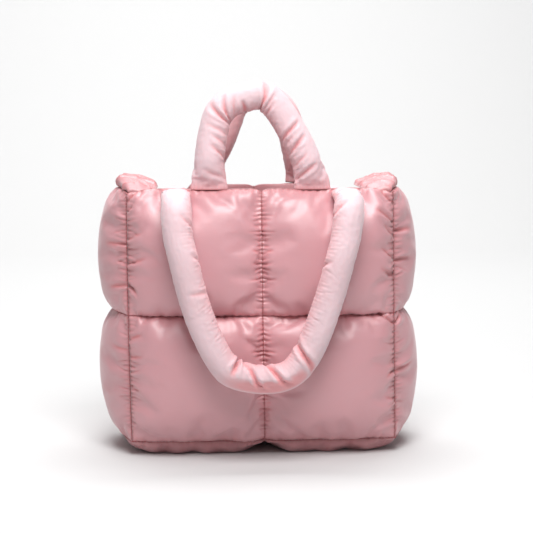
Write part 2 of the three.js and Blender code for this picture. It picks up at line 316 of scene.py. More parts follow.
def path_lengths(grid: Array, axis: int = 0) -> Array:
    """Length from the first point or line of a curve or grid to each point, along an axis."""
    steps = np.linalg.norm(np.diff(grid, axis=axis), axis=-1)
    start = np.zeros_like(np.take(steps, [0], axis=axis))
    return np.concatenate([start, np.cumsum(steps, axis=axis)], axis=axis)


def to_nearer_end(place: Array) -> Array:
    """Distance of places along a line to the nearer of its two ends."""
    return np.minimum(place, place[-1] - place)


def wrapped(angle: Array) -> Array:
    """The same angle between minus and plus half a turn."""
    return (angle + math.pi) % (2 * math.pi) - math.pi


def grid_faces(rows: int, columns: int, closed: bool = False, start: int = 0) -> Array:
    """Quads of a grid, whose normals are axis 1 crossed with axis 0.

    Args:
        rows: Points along axis 0.
        columns: Points along axis 1.
        closed: Whether axis 1 closes on itself.
        start: Index of the first point.

    Returns:
        An array of four indices a face.
    """
    index = start + np.arange(rows * columns).reshape(rows, columns)
    if closed:
        index = np.concatenate([index, index[:, :1]], axis=1)
    corners = [index[:-1, :-1], index[:-1, 1:], index[1:, 1:], index[1:, :-1]]
    return np.stack(corners, -1).reshape(-1, 4)


@dataclass
class Shell:
    """A mesh in the making: points, faces, flat cloth coordinates, seam lines that get a painted line of
    crevice shadow, and painted shade in its folds.
    """

    points: Array
    faces: list[list[int]]
    cloth: Array
    seam: Array
    deep: Array

    @classmethod
    def tube(cls, grid: Array, cloth: Array, seam: Array, deep: Array, inwards: bool = False) -> Shell:
        """A tube with a fan of triangles over each end.

        Args:
            grid: Points, axis 0 along the tube and axis 1 round it.
            cloth: Flat cloth coordinates of each point.
            seam: How much each point is on a seam line, where a dark line of crevice shadow is painted.
            deep: How much painted shade each point gets, deepest in folds.
            inwards: Whether the grid's own normals point into the tube, so that its faces are turned.

        Returns:
            The closed shell.
        """
        rows, columns = grid.shape[:2]
        count = rows * columns
        first = np.arange(columns)
        last = first + count - columns
        parts = (
            grid_faces(rows, columns, closed=True),
            np.stack([np.full(columns, count), np.roll(first, -1), first], -1),
            np.stack([np.full(columns, count + 1), last, np.roll(last, -1)], -1),
        )
        way = -1 if inwards else 1

        def capped(values: Array) -> Array:
            """Values of all points, with those of the two end middles after them."""
            return np.concatenate([values, values[:1], values[-1:]])

        return cls(
            points=np.concatenate([grid.reshape(-1, 3), [grid[0].mean(axis=0), grid[-1].mean(axis=0)]]),
            faces=[face for part in parts for face in part[:, ::way].tolist()],
            cloth=capped(cloth.reshape(-1, 2)),
            seam=capped(seam.reshape(-1)),
            deep=capped(deep.reshape(-1)),
        )

    def to_object(self, name: str) -> bpy.types.Object:
        """Makes the Blender object.

        Args:
            name: Name of the object.

        Returns:
            The object, at the origin, with its cloth coordinates as a UV map in metres, and two
            attributes from 0 to 1, both painted shade: seam for a dark crevice line on the seam lines and
            deep for a deeper tone in the hollows of the cloth.
        """
        mesh = bpy.data.meshes.new(name)
        mesh.from_pydata(self.points.tolist(), [], self.faces)
        mesh.update()
        mesh.shade_smooth()
        corners = np.empty(len(mesh.loops), dtype=np.int64)
        mesh.loops.foreach_get("vertex_index", corners)
        layer = mesh.uv_layers.new(name="cloth")
        layer.data.foreach_set("uv", self.cloth[corners].astype(np.float32).ravel())
        # Both attributes paint shade into the colour: a dark crevice line on the seams and a deeper tone
        # in the hollows.
        for kind, values in (("seam", self.seam), ("deep", self.deep)):
            attribute = mesh.attributes.new(kind, "FLOAT", "POINT")
            attribute.data.foreach_set("value", values.astype(np.float32).ravel())
        piece = bpy.data.objects.new(name, mesh)
        bpy.context.scene.collection.objects.link(piece)
        return piece


@dataclass(frozen=True)
class Inflation:
    """How the filling blows up a pad's cloth."""

    pressure: float = 25.0
    spare_cloth: float = 0.10
    bending: float = 2.0
    stiffness: float = 15.0
    frames: int = 26
    cap: float = 22 * MM

    def run(self, grid: Array, held: Array, rest: Array | None = None, closed: bool = False) -> Array:
        """Simulates the cloth.

        Args:
            grid: Points at the start.
            held: True for points that a seam holds still.
            rest: The same points where the cloth is flat and unstrained, if that isn't the start.
            closed: Whether axis 1 closes on itself.

        Returns:
            The points after the simulation, none further than the cap from its start.
        """
        rows, columns = grid.shape[:2]
        mesh = bpy.data.meshes.new("cloth")
        mesh.from_pydata(grid.reshape(-1, 3).tolist(), [], grid_faces(rows, columns, closed).tolist())
        cloth = bpy.data.objects.new("cloth", mesh)
        scene = bpy.context.scene
        scene.collection.objects.link(cloth)
        pins = cloth.vertex_groups.new(name="held")
        pins.add([int(k) for k in np.flatnonzero(held)], 1.0, "REPLACE")
        modifier = cloth.modifiers.new("cloth", "CLOTH")
        self._settle(modifier)
        if rest is not None:
            cloth.shape_key_add(name="start")
            flat = cloth.shape_key_add(name="flat")
            flat.data.foreach_set("co", rest.astype(np.float32).ravel())
            modifier.settings.rest_shape_key = flat
        for number in range(1, self.frames + 1):
            scene.frame_set(number)
        done = cloth.evaluated_get(bpy.context.evaluated_depsgraph_get())
        flat_points = np.empty(grid.size, dtype=np.float32)
        done.data.vertices.foreach_get("co", flat_points)
        bpy.data.objects.remove(cloth)
        bpy.data.meshes.remove(mesh)
        scene.frame_set(1)
        moved = flat_points.reshape(grid.shape).astype(float) - grid
        length = np.linalg.norm(moved, axis=-1, keepdims=True)
        return grid + moved * np.minimum(1, self.cap / np.maximum(length, 1e-9))

    def _settle(self, modifier: bpy.types.ClothModifier) -> None:
        """Sets the modifier up as thin nylon under pressure, with no gravity.

        Args:
            modifier: The cloth modifier.
        """
        settings = modifier.settings
        settings.quality = 5
        settings.mass = 0.2
        settings.tension_stiffness = self.stiffness
        settings.compression_stiffness = self.stiffness
        settings.shear_stiffness = self.stiffness / 3
        settings.bending_stiffness = self.bending
        settings.use_pressure = True
        settings.uniform_pressure_force = self.pressure
        settings.shrink_min = -self.spare_cloth
        settings.vertex_group_mass = "held"
        settings.effector_weights.gravity = 0
        modifier.collision_settings.use_collision = False
        modifier.point_cache.frame_start = 1
        modifier.point_cache.frame_end = self.frames


def fold_profile(off: Array, ridge: float, ridge_place: float, sharpness: float) -> Array:
    """Height across a gather or crease: a sharp valley between two rounded ridges.

    Args:
        off: Distance from the valley's line, in widths of the valley.
        ridge: Height of the ridges, in depths of the valley.
        ridge_place: Where the ridges stand, in widths.
        sharpness: Power of the valley's sides: 2 for a round valley, less for a sharper one.

    Returns:
        The height, in depths of the valley.
    """
    return ridge * np.exp(-((off - ridge_place) ** 2)) - np.exp(-(off**sharpness))


@dataclass(frozen=True)
class Pucker:
    """One gather that runs from a seam into the cloth."""

    at: float
    reach: float
    depth: float
    width: float
    lean: float
    bend: float
    open_end: float = 0.0

    def relief(self, along: Array, away: Array) -> Array:
        """Height of the cloth's face over its smooth shape.

        Args:
            along: Distance of each point along the seam.
            away: Distance of each point from the seam.

        Returns:
            A sharp valley along the gather between two rounded ridges. It is 0 on the seam itself
            unless the gather has an open end there.
        """
        share = np.clip(away / self.reach, 0, 1)
        middle = self.at + self.lean * away + self.bend * away * away / self.reach
        off = np.clip(np.abs(along - middle) / (self.width * (1 + 0.5 * share)), 0, 6)
        length = np.sin(np.pi * (self.open_end + (1 - self.open_end) * share) ** 0.42)
        length = length * smooth(2.5 * (1 - share))
        return self.depth * length * fold_profile(off, ridge=0.55, ridge_place=1.7, sharpness=1.4)


@dataclass(frozen=True)
class Gathers:
    """A run of small gathers along a stretch of a seam, as a gathering stitch makes them."""

    start: float
    end: float
    spacing: float
    reach: float
    depth: float
    seed: int
    slack: Callable[[float], float]
    open_end: float = 0.0

    def puckers(self) -> list[Pucker]:
        """Lays out the gathers from the start of the run to its end.

        Returns:
            The gathers in order, each with the depth that the slack at its share of the run says.
        """
        rng = np.random.default_rng(self.seed)
        found = []
        at = self.start + self.spacing * 0.6
        while at < self.end:
            amount = self.slack((at - self.start) / (self.end - self.start)) * rng.uniform(0.6, 1.2)
            found.append(
                Pucker(
                    at=at,
                    reach=self.reach * rng.uniform(0.55, 1.5) * (0.5 + 0.6 * amount),
                    depth=self.depth * amount,
                    width=self.spacing * rng.uniform(0.18, 0.26),
                    lean=rng.normal(0, 0.1),
                    bend=rng.normal(0, 0.12),
                    open_end=self.open_end,
                )
            )
            at += self.spacing * rng.uniform(0.75, 1.3)
        return found


def ripple(along: Array, seed: int, longest: float, octaves: int) -> Array:
    """A smooth random wave, between about -1 and 1.

    Args:
        along: Place of each point, in metres.
        seed: Seed of the random phases.
        longest: Longest wavelength.
        octaves: How many waves are summed, each about 1.7 times shorter and lower.

    Returns:
        The wave's height at each place.
    """
    rng = np.random.default_rng(seed)
    total = np.zeros_like(along)
    for k in range(octaves):
        length = longest / 1.7**k
        total += np.sin(2 * np.pi * along / length + rng.uniform(0, 2 * np.pi)) / 1.5**k
    return total / 2


class Seam(Enum):
    """The seams of a wall, from which gathers run into its cloth."""

    LEFT = "left"
    CENTRE = "centre"
    RIGHT = "right"
    MIDDLE = "middle"
    RIM = "rim"
    BOTTOM = "bottom"


def swell(share: float) -> float:
    """Slack that is largest in the middle of a run."""
    return 0.25 + 0.75 * math.sin(math.pi * share) ** 0.8


def even(_share: float) -> float:
    """Slack that is the same all along a run."""
    return 1.0


@dataclass(frozen=True)
class FoldRow:
    """A single long fold that starts from a seam, with its place and sizes in millimetres."""

    height: float
    reach: float
    depth: float
    lean: float
    bend: float = 0.0

    def pucker(self) -> Pucker:
        """The fold as a gather in metres."""
        return Pucker(self.height * MM, self.reach * MM, self.depth * MM, 2.3 * MM, self.lean, self.bend)


FOLDS = {
    (Wall.FRONT, Seam.LEFT): (
        FoldRow(279, 17, 2.0, 0.9),
        FoldRow(267, 16, 1.8, 0.8),
        FoldRow(239, 32, 1.5, 0.3),
        FoldRow(213, 34, 2.0, 0.15, 0.1),
        FoldRow(191, 20, 2.4, -0.6),
        FoldRow(130, 24, 1.8, 0.3),
        FoldRow(111, 28, 1.8, 0.1),
        FoldRow(79, 22, 1.8, -0.3),
    ),
    (Wall.FRONT, Seam.RIGHT): (
        FoldRow(275, 20, 2.6, 1.0),
        FoldRow(254, 34, 2.8, 0.8, -0.3),
        FoldRow(239, 22, 2.6, 0.8),
        FoldRow(214, 26, 2.6, 0.7),
        FoldRow(199, 32, 2.6, 0.1, 0.3),
        FoldRow(144, 26, 3.0, 0.7),
        FoldRow(92, 24, 2.4, -0.2),
        FoldRow(60, 22, 1.8, 0.3),
    ),
    (Wall.LEFT, Seam.RIGHT): (
        FoldRow(233, 40, 2.6, 0.0),
        FoldRow(224, 16, 1.8, 0.0),
        FoldRow(190, 36, 2.6, -0.15),
        FoldRow(118, 30, 1.8, 0.1),
    ),
    (Wall.RIGHT, Seam.LEFT): (
        FoldRow(246, 42, 2.8, 0.0),
        FoldRow(214, 40, 2.8, 0.0),
        FoldRow(92, 42, 2.6, 0.15),
        FoldRow(144, 26, 2.6, 0.5),
    ),
    (Wall.BACK, Seam.LEFT): (
        FoldRow(240, 30, 2.0, 0.4),
        FoldRow(100, 26, 2.0, 0.2),
    ),
    (Wall.BACK, Seam.RIGHT): (
        FoldRow(205, 30, 2.0, 0.3),
    ),
}


@dataclass
class PaddedWall:
    """A wall of quilted cushions: an outer face, a lining and the seams between them."""

    sizes: BodySizes
    wall: Wall
    seed: int
    slot: Slot = Slot.SHELL
    gathers: list[tuple[Seam, Pucker]] = field(default_factory=list)
    inflation: Inflation = Inflation()
    step: float = 3.0 * MM
    finer_up: int = 3
    finer_across: int = 2
    start_loft: float = 0.7
    # Widths of the painted crevice shadow on the seams, of the painted shade beside them and of the
    # painted shade in the gathers' hollows.
    seam_line: float = 0.9 * MM
    seam_shade: float = 3.5 * MM
    fold_shade: float = 1.4 * MM

    @property
    def cells(self) -> tuple[int, int]:
        """Number of cushions across and up the wall."""
        return (1, 2) if self.wall in (Wall.LEFT, Wall.RIGHT) else (2, 2)

    @property
    def span(self) -> tuple[float, float]:
        """Width and height of the wall between its seams."""
        rise = self.sizes.rim - self.sizes.bottom_seam
        half = self.sizes.half_depth if self.wall in (Wall.LEFT, Wall.RIGHT) else self.sizes.half_width
        return 2 * half, rise

    def sheet(self, u: Array, v: Array, layer: Layer, lift: Array) -> Array:
        """Points of one face of the wall.

        Args:
            u: Shares across the wall, left to right as seen from outside.
            v: Shares up the wall.
            layer: Which face.
            lift: How far the padding stands off the seam sheet there.

        Returns:
            The points, in the frame's axes.
        """
        raise NotImplementedError

    def loft(self, u: Array, v: Array, layer: Layer) -> Array:
        """Height of the cushions over their seams at shares of the wall."""
        raise NotImplementedError

    def seam_lines(self, u: Array, v: Array) -> Array:
        """True for points on a seam."""
        across, up = self.cells
        on = np.zeros(u.shape, dtype=bool)
        for cell in range(across + 1):
            on |= np.isclose(u, cell / across)
        for cell in range(up + 1):
            on |= np.isclose(v, cell / up)
        return on

    def reliefs(self, grid: Array, across: Array, up: Array) -> Array:
        """Height of all gathers and folds over a grid.

        Args:
            grid: Points of the wall's outer face.
            across: Distance of each point across the wall from its middle, at the seam sheet.
            up: Height of each point, at the seam sheet.

        Returns:
            The height to be raised along the normals.
        """
        row_length = path_lengths(grid, 1)
        column_length = path_lengths(grid, 0)
        middle_column = grid.shape[1] // 2
        middle_row = grid.shape[0] // 2
        places = {
            Seam.LEFT: (up, row_length),
            Seam.RIGHT: (up, row_length[:, -1:] - row_length),
            Seam.CENTRE: (up, np.abs(row_length - row_length[:, middle_column : middle_column + 1])),
            Seam.MIDDLE: (across, np.abs(column_length - column_length[middle_row : middle_row + 1])),
            Seam.BOTTOM: (across, column_length),
            Seam.RIM: (across, column_length[-1:] - column_length),
        }
        total = np.zeros(grid.shape[:2])
        for seam, pucker in self.gathers:
            total += pucker.relief(*places[seam])
        return total

    def outer_grid(self) -> tuple[Array, Array, Array, Array]:
        """Blows up, refines and gathers the outer face.

        Returns:
            The points of the outer face, the shares across and up of its grid, and the height of
            its gathers.
        """
        cells_across, cells_up = self.cells
        width, rise = self.span
        u, v = np.meshgrid(
            seam_shares(cells_across, self.step, width), seam_shares(cells_up, self.step, rise)
        )
        seams = self.seam_lines(u, v)
        loft = self.loft(u, v, Layer.OUTER)
        share = self.start_loft
        noise = np.random.default_rng(self.seed).normal(0, 0.15 * MM, u.shape)
        start = self.sheet(u, v, Layer.OUTER, np.where(seams, loft, loft * share + noise))
        blown = relax(self.inflation.run(start, seams), ~seams, 3)
        grid = keep_form(blown, self.sheet(u, v, Layer.OUTER, loft), ~seams)
        pair = np.stack([u, v], -1)
        for axis, cells, factor in ((0, cells_up, self.finer_up), (1, cells_across, self.finer_across)):
            grid = refine(grid, cells, axis, factor)
            pair = refine(pair, cells, axis, factor)
        fine_u, fine_v = np.clip(pair[..., 0], 0, 1), np.clip(pair[..., 1], 0, 1)
        flat = self.sheet(fine_u, fine_v, Layer.OUTER, np.zeros_like(fine_u))
        across = (fine_u - 0.5) * width
        grid = self.sagged(grid, fine_u, fine_v)
        relief = self.reliefs(grid, across, flat[..., 2])
        return raise_relief(grid, relief), fine_u, fine_v, relief

    def sagged(self, grid: Array, u: Array, v: Array) -> Array:
        """Lets a wall's cushions hang over the seam below them, which by default they don't do.

        Args:
            grid: Points of the wall's outer face.
            u: Their shares across the wall.
            v: Their shares up the wall.

        Returns:
            The points, sagged.
        """
        return grid

    def build(self) -> bpy.types.Object:
        """Builds the wall as one closed padded piece.

        Returns:
            The piece, riding on the body.
        """
        outer, u, v, relief = self.outer_grid()
        rows, columns = u.shape
        lining = self.sheet(u, v, Layer.LINING, self.loft(u, v, Layer.LINING))
        count = rows * columns
        faces = grid_faces(rows, columns).tolist()
        faces += grid_faces(rows, columns, start=count)[:, ::-1].tolist()
        index = np.arange(count).reshape(rows, columns)
        ring = np.concatenate([index[0, :-1], index[:-1, -1], index[-1, :0:-1], index[:0:-1, 0]])
        after = np.roll(ring, -1)
        faces += np.stack([ring, ring + count, after + count, after], -1).tolist()
        length_across, length_up = path_lengths(outer, 1), path_lengths(outer, 0)
        cloth = np.stack([length_across, length_up], -1).reshape(-1, 2)
        cells_across, cells_up = self.cells
        to_side, to_level = cell_share(u, cells_across), cell_share(v, cells_up)
        off_seam = np.minimum(
            np.minimum(to_side, 1 - to_side) * self.span[0] / cells_across,
            np.minimum(to_level, 1 - to_level) * self.span[1] / cells_up,
        )
        # Painted shade: a dark crevice line on every seam, and a deeper tone beside the seams and in the
        # gathers' hollows, where shade falls.
        seam = np.exp(-off_seam / self.seam_line).reshape(-1)
        hollow = np.clip(-relief / self.fold_shade, 0, 0.8)
        deep = np.maximum(0.5 * np.exp(-off_seam / self.seam_shade), hollow).reshape(-1)
        shell = Shell(
            points=np.concatenate([outer.reshape(-1, 3), lining.reshape(-1, 3)]),
            faces=faces,
            cloth=np.concatenate([cloth, cloth]),
            seam=np.concatenate([seam, seam]),
            deep=np.concatenate([deep, deep]),
        )
        piece = shell.to_object(self.wall.value + "_cushions")
        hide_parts(self.wall.value)
        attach(piece, BODY)
        return piece


@dataclass
class UprightWall(PaddedWall):
    """The front, the back or a gusset."""

    @property
    def turn(self) -> float:
        """Angle about the upright axis from the front to this wall."""
        return {Wall.FRONT: 0.0, Wall.RIGHT: 0.5, Wall.BACK: 1.0, Wall.LEFT: -0.5}[self.wall] * math.pi

    @property
    def is_gusset(self) -> bool:
        """Whether this is a side wall."""
        return self.wall in (Wall.LEFT, Wall.RIGHT)

    def sheet(self, u: Array, v: Array, layer: Layer, lift: Array) -> Array:
        """Points of one face of the wall, as PaddedWall.sheet says."""
        sizes = self.sizes
        half_depths = sizes.half_depths(v)
        half_span = half_depths if self.is_gusset else sizes.half_width
        distance = sizes.half_width if self.is_gusset else half_depths
        bow = sizes.gusset_bow if self.is_gusset else sizes.front_bow
        reach = layer.value * sizes.seam_half - sizes.seam_gap
        height = sizes.heights(v)
        mitred = np.maximum(0, 1 - (height - sizes.bottom_seam) / (2 * sizes.seam_half))
        across = (2 * u - 1) * (half_span + reach)
        bows = GUSSET_BOWS if self.is_gusset else FRONT_BOWS
        out = distance + bow * np.interp(v, [0, 0.5, 1], bows) * bow_shape(u)
        out = out + layer.value * (sizes.seam_half + lift)
        cos, sin = math.cos(self.turn), math.sin(self.turn)
        up = height - reach * mitred + self.rim_wave(u, v) + self.bottom_wave(u, v)
        x = across * cos + out * sin + sizes.swayed(v)
        return np.stack([x, across * sin - out * cos, up], -1)

    def rim_wave(self, u: Array, v: Array) -> Array:
        """How far the rim stands over its level line.

        Args:
            u: Shares across the wall.
            v: Shares up the wall.

        Returns:
            A rise between the handles' feet and beside them, a notch at the centre seam and, on the
            back, a drop where the gussets draw the mouth together.
        """
        if self.is_gusset:
            corner_drop = 4 * MM
            return -corner_drop * smooth(5 * v - 4) * np.abs(2 * u - 1) ** 6
        across = np.abs(u - 0.5) * self.span[0]
        foot_half, notch_half, corner_start, corner_length = 20 * MM, 5 * MM, 118 * MM, 25 * MM
        feet = np.exp(-(((across - HANDLE_ACROSS) / foot_half) ** 4))
        notch = np.exp(-((across / notch_half) ** 2))
        corner = smooth((across - corner_start) / corner_length)
        between, notch_drop, corner_drop = (-2 if self.wall is Wall.BACK else 2) * MM, 2.6 * MM, 5 * MM
        rise = between * (1 - feet) - notch_drop * notch - corner_drop * corner
        if self.wall is Wall.BACK:
            drawn, drawn_start, drawn_length = 7 * MM, 70 * MM, 10 * MM
            rise -= drawn * smooth((across - drawn_start) / drawn_length)
        return rise * smooth(6 * v - 5)

    def bottom_wave(self, u: Array, v: Array) -> Array:
        """How far the bottom seam is drawn up under the centre seam and waves beside it.

        Args:
            u: Shares across the wall.
            v: Shares up the wall.

        Returns:
            The rise, 0 for a gusset.
        """
        if self.is_gusset:
            return np.zeros_like(u)
        across = (u - 0.5) * self.span[0]
        drawn_up, drawn_half, wave, longest = 2.5 * MM, 8 * MM, 0.9 * MM, 90 * MM
        drawn = drawn_up * np.exp(-((across / drawn_half) ** 2))
        return (drawn + wave * ripple(across, 17, longest, 3)) * smooth(1 - 8 * v)

    def sagged(self, grid: Array, u: Array, v: Array) -> Array:
        """Hangs the upper cushions over the middle seam, as PaddedWall.sagged says."""
        full = self.sizes.gusset_loft if self.is_gusset else self.sizes.front_loft
        proud = self.loft(u, v, Layer.OUTER) / full
        above = np.maximum(0, self.sizes.heights(v) - self.sizes.middle_seam)
        near = np.where(above > 0, np.exp(-((above / self.sizes.sag_reach) ** 2)), 0)
        grid = grid.copy()
        grid[..., 2] -= self.sizes.sag * near * np.clip(proud, 0, 1)
        return grid

    def loft(self, u: Array, v: Array, layer: Layer) -> Array:
        """Height of the cushions over their seams, as PaddedWall.loft says."""
        cells_across, cells_up = self.cells
        columns = cushion(cell_share(u, cells_across))
        columns += CENTRE_SEAM_SHARE * (cells_across - 1) * (1 - columns) * (1 - np.abs(2 * u - 1) ** 8)
        root = ROW_ROOT if layer is Layer.OUTER and not self.is_gusset else CUSHION_ROOT
        rows = cushion(cell_share(v, cells_up), root)
        if layer is Layer.LINING:
            return self.sizes.lining_loft * columns * rows
        full = self.sizes.gusset_loft if self.is_gusset else self.sizes.front_loft
        return full * columns * rows * self.root_dent(u, v)

    def root_dent(self, u: Array, v: Array) -> Array:
        """How much of the loft is left round the roots of a shoulder strap.

        Args:
            u: Shares across the wall.
            v: Shares up the wall.

        Returns:
            Shares of the loft, 0 under a root and 1 well away from it.
        """
        if self.is_gusset:
            return np.ones_like(u)
        root_below = STRAP_BELOW[self.wall]
        flat, reach = 19 * MM, 48 * MM
        across = np.abs((2 * u - 1) * self.sizes.half_width) - STRAP_ACROSS
        away = np.hypot(across, self.sizes.heights(v) - (self.sizes.rim - root_below))
        rising = np.clip((away - flat) / (reach - flat), 0, 1)
        return np.sqrt(rising * (2 - rising))


@dataclass
class BottomWall(PaddedWall):
    """The bottom: two cushions side by side, pressed flat on the floor."""

    slot: Slot = Slot.BOTTOM

    @property
    def cells(self) -> tuple[int, int]:
        """Number of cushions across and along the depth."""
        return 2, 1

    @property
    def span(self) -> tuple[float, float]:
        """Width and depth of the bottom between its seams."""
        return 2 * self.sizes.half_width, 2 * self.sizes.half_depth

    def sheet(self, u: Array, v: Array, layer: Layer, lift: Array) -> Array:
        """Points of one face, as PaddedWall.sheet says, with the front at a share up of 1."""
        sizes = self.sizes
        reach = layer.value * sizes.seam_half - sizes.seam_gap
        front_bow, gusset_bow = sizes.front_bow * FRONT_BOWS[0], sizes.gusset_bow * GUSSET_BOWS[0]
        x = (2 * u - 1) * (sizes.half_width + reach + gusset_bow * bow_shape(v)) + sizes.swayed(0.0)
        y = (1 - 2 * v) * (sizes.half_depth + reach + front_bow * bow_shape(u))
        z = sizes.bottom_seam - layer.value * (sizes.seam_half + lift)
        return np.stack([x, y, np.maximum(z, 0)], -1)

    def loft(self, u: Array, v: Array, layer: Layer) -> Array:
        """Height of the cushions over their seams, as PaddedWall.loft says."""
        across = cushion(cell_share(u, 2))
        if layer is Layer.LINING:
            return self.sizes.lining_loft * across * cushion(v)
        return self.sizes.bottom_loft * across * cushion(v, BOTTOM_ROOT)

    def outer_grid(self) -> tuple[Array, Array, Array, Array]:
        """Blows up the bottom as any wall and presses it flat on the floor."""
        grid, u, v, relief = super().outer_grid()
        grid[..., 2] = np.maximum(grid[..., 2], 0)
        return grid, u, v, relief


@dataclass(frozen=True)
class RoutePoint:
    """A point of a handle's or strap's route, in shares of its half spacing, rise and reach out."""

    across: float
    along: float
    out: float = 0.0


def route_points(*rows: tuple[float, ...]) -> tuple[RoutePoint, ...]:
    """Route points from rows of across, along and, where it isn't 0, out."""
    return tuple(RoutePoint(*row) for row in rows)


HANDLE_ROUTE = route_points(
    (-1.0, 0.0),
    (-1.0, 0.2),
    (-0.97, 0.42),
    (-0.9, 0.63),
    (-0.79, 0.81),
    (-0.57, 0.92),
    (-0.28, 0.98),
    (0.02, 1.0),
    (0.22, 0.93),
    (0.41, 0.8),
    (0.59, 0.64),
    (0.77, 0.46),
    (0.89, 0.29),
    (0.97, 0.13),
    (1.0, 0.0),
)

BACK_HANDLE_ROUTE = route_points(
    (-0.95, 0.0),
    (-0.94, 0.15),
    (-0.88, 0.32),
    (-0.82, 0.48),
    (-0.73, 0.66),
    (-0.58, 0.83),
    (-0.3, 0.96),
    (0.0, 0.99),
    (0.24, 0.95),
    (0.42, 0.85),
    (0.55, 0.66),
    (0.7, 0.45),
    (0.91, 0.22),
    (1.0, 0.0),
)

STRAP_ROUTE = route_points(
    (-1.0, 0.0, 0.0),
    (-1.0, 0.0, 0.28),
    (-1.0, 0.03, 0.56),
    (-1.0, 0.1, 0.8),
    (-0.98, 0.22, 0.92),
    (-0.92, 0.34, 1.0),
    (-0.84, 0.5, 1.0),
    (-0.72, 0.68, 1.0),
    (-0.57, 0.84, 1.0),
    (-0.41, 0.95, 1.0),
    (-0.2, 0.99, 1.0),
    (0.07, 1.0, 1.0),
    (0.3, 0.97, 1.0),
    (0.47, 0.88, 1.0),
    (0.61, 0.74, 1.0),
    (0.76, 0.53, 1.0),
    (0.87, 0.34, 1.0),
    (0.94, 0.22, 0.92),
    (0.98, 0.1, 0.8),
    (1.0, 0.03, 0.56),
    (1.0, 0.0, 0.28),
    (1.0, 0.0, 0.0),
)


def curve_points(points: Sequence[Sequence[float]], count: int) -> Array:
    """Evenly spaced points on a smooth curve through the given ones.

    Args:
        points: Points that the curve passes through.
        count: Number of points wanted.

    Returns:
        The points of the curve.
    """
    line = np.asarray(points, dtype=float)[:, None, :]
    dense = refine(line, 1, 0, 24)[:, 0]
    length = path_lengths(dense)
    wanted = np.linspace(0, length[-1], count)
    return np.stack([np.interp(wanted, length, dense[:, k]) for k in range(3)], -1)


def frames_along(line: Array, side: Array) -> tuple[Array, Array]:
    """Sideways directions along a line that turn as little as they can.

    Args:
        line: Points of the line.
        side: Sideways direction at its start.

    Returns:
        The side and the face direction at each point, the face being the tangent crossed with the side.
    """
    tangents = np.gradient(line, axis=0)
    tangents /= np.linalg.norm(tangents, axis=1, keepdims=True)
    sides = np.empty_like(line)
    for k, tangent in enumerate(tangents):
        side = side - side.dot(tangent) * tangent
        side = side / np.linalg.norm(side)
        sides[k] = side
    return sides, np.cross(tangents, sides)


@dataclass(frozen=True)
class TubeCrease:
    """A crease across a stuffed tube."""

    along: float
    side: float
    depth: float
    reach: float
    width: float
    slant: float

    def relief(self, place: Array, angle: Array) -> Array:
        """Height of the tube's face over its smooth shape.

        Args:
            place: Distance of each point along the tube.
            angle: Angle of each point round the tube, in radians from the inside of its bend.

        Returns:
            A sharp valley round the crease's side, between two rounded ridges.
        """
        turn = wrapped(angle - math.radians(self.side))
        off = np.clip(np.abs(place - self.along - self.slant * turn) / self.width, 0, 6)
        facing = np.maximum(0, 1 - (turn / math.radians(self.reach)) ** 2)
        return self.depth * facing * fold_profile(off, ridge=0.4, ridge_place=1.9, sharpness=1.2)


def crease_table(rows: Sequence[tuple[float, ...]]) -> tuple[TubeCrease, ...]:
    """Creases from rows of place, side, depth, reach, width and slant, in millimetres and degrees."""
    return tuple(
        TubeCrease(place * MM, side, depth * MM, reach, width * MM, slant * MM)
        for place, side, depth, reach, width, slant in rows
    )


HANDLE_CREASES = crease_table(
    (
        (16, -65, 1.2, 55, 2.4, -6),
        (40, -45, 2.4, 55, 2.4, -8),
        (53, -50, 1.6, 50, 2.4, -6),
        (65, -70, 1.4, 60, 2.4, -3),
        (80, -75, 3.2, 85, 2.4, -4.5),
        (88, -65, 3.0, 75, 2.4, -9),
        (100, -60, 1.6, 50, 2.2, -8),
        (113, -30, 3.2, 50, 2.6, 0),
        (139, -80, 3.8, 110, 2.4, 2.5),
        (147, -60, 2.4, 55, 2.2, 2),
        (153, -50, 2.2, 50, 2.2, 4),
        (187, -65, 3.4, 70, 2.4, 4.5),
        (194, -55, 1.8, 45, 2.2, 5),
        (204, -65, 3.0, 65, 2.4, 6.5),
        (221, -55, 1.8, 50, 2.2, 6),
        (235, -65, 2.4, 65, 2.4, 7),
    )
)

STRAP_CREASES = crease_table(
    (
        (62, 35, 1.6, 50, 2.6, -8),
        (101, 25, 1.6, 40, 2.6, -8),
        (137, 55, 1.4, 65, 2.6, -3),
        (228, 25, 6.5, 75, 3.6, 2),
        (240, 20, 2.4, 50, 2.4, 6),
        (252, 65, 5.0, 95, 2.8, 9.6),
        (272, 130, 5.0, 42, 42, 0),
        (278, 60, 5.5, 100, 3.2, 9),
        (321, 70, 6.5, 105, 3.0, -5),
        (331, 20, 2.6, 60, 2.4, -6),
        (420, 15, 1.8, 50, 2.6, 6),
        (478, 30, 2.2, 55, 2.6, 7),
        (502, 35, 2.0, 60, 2.6, 6),
    )
)


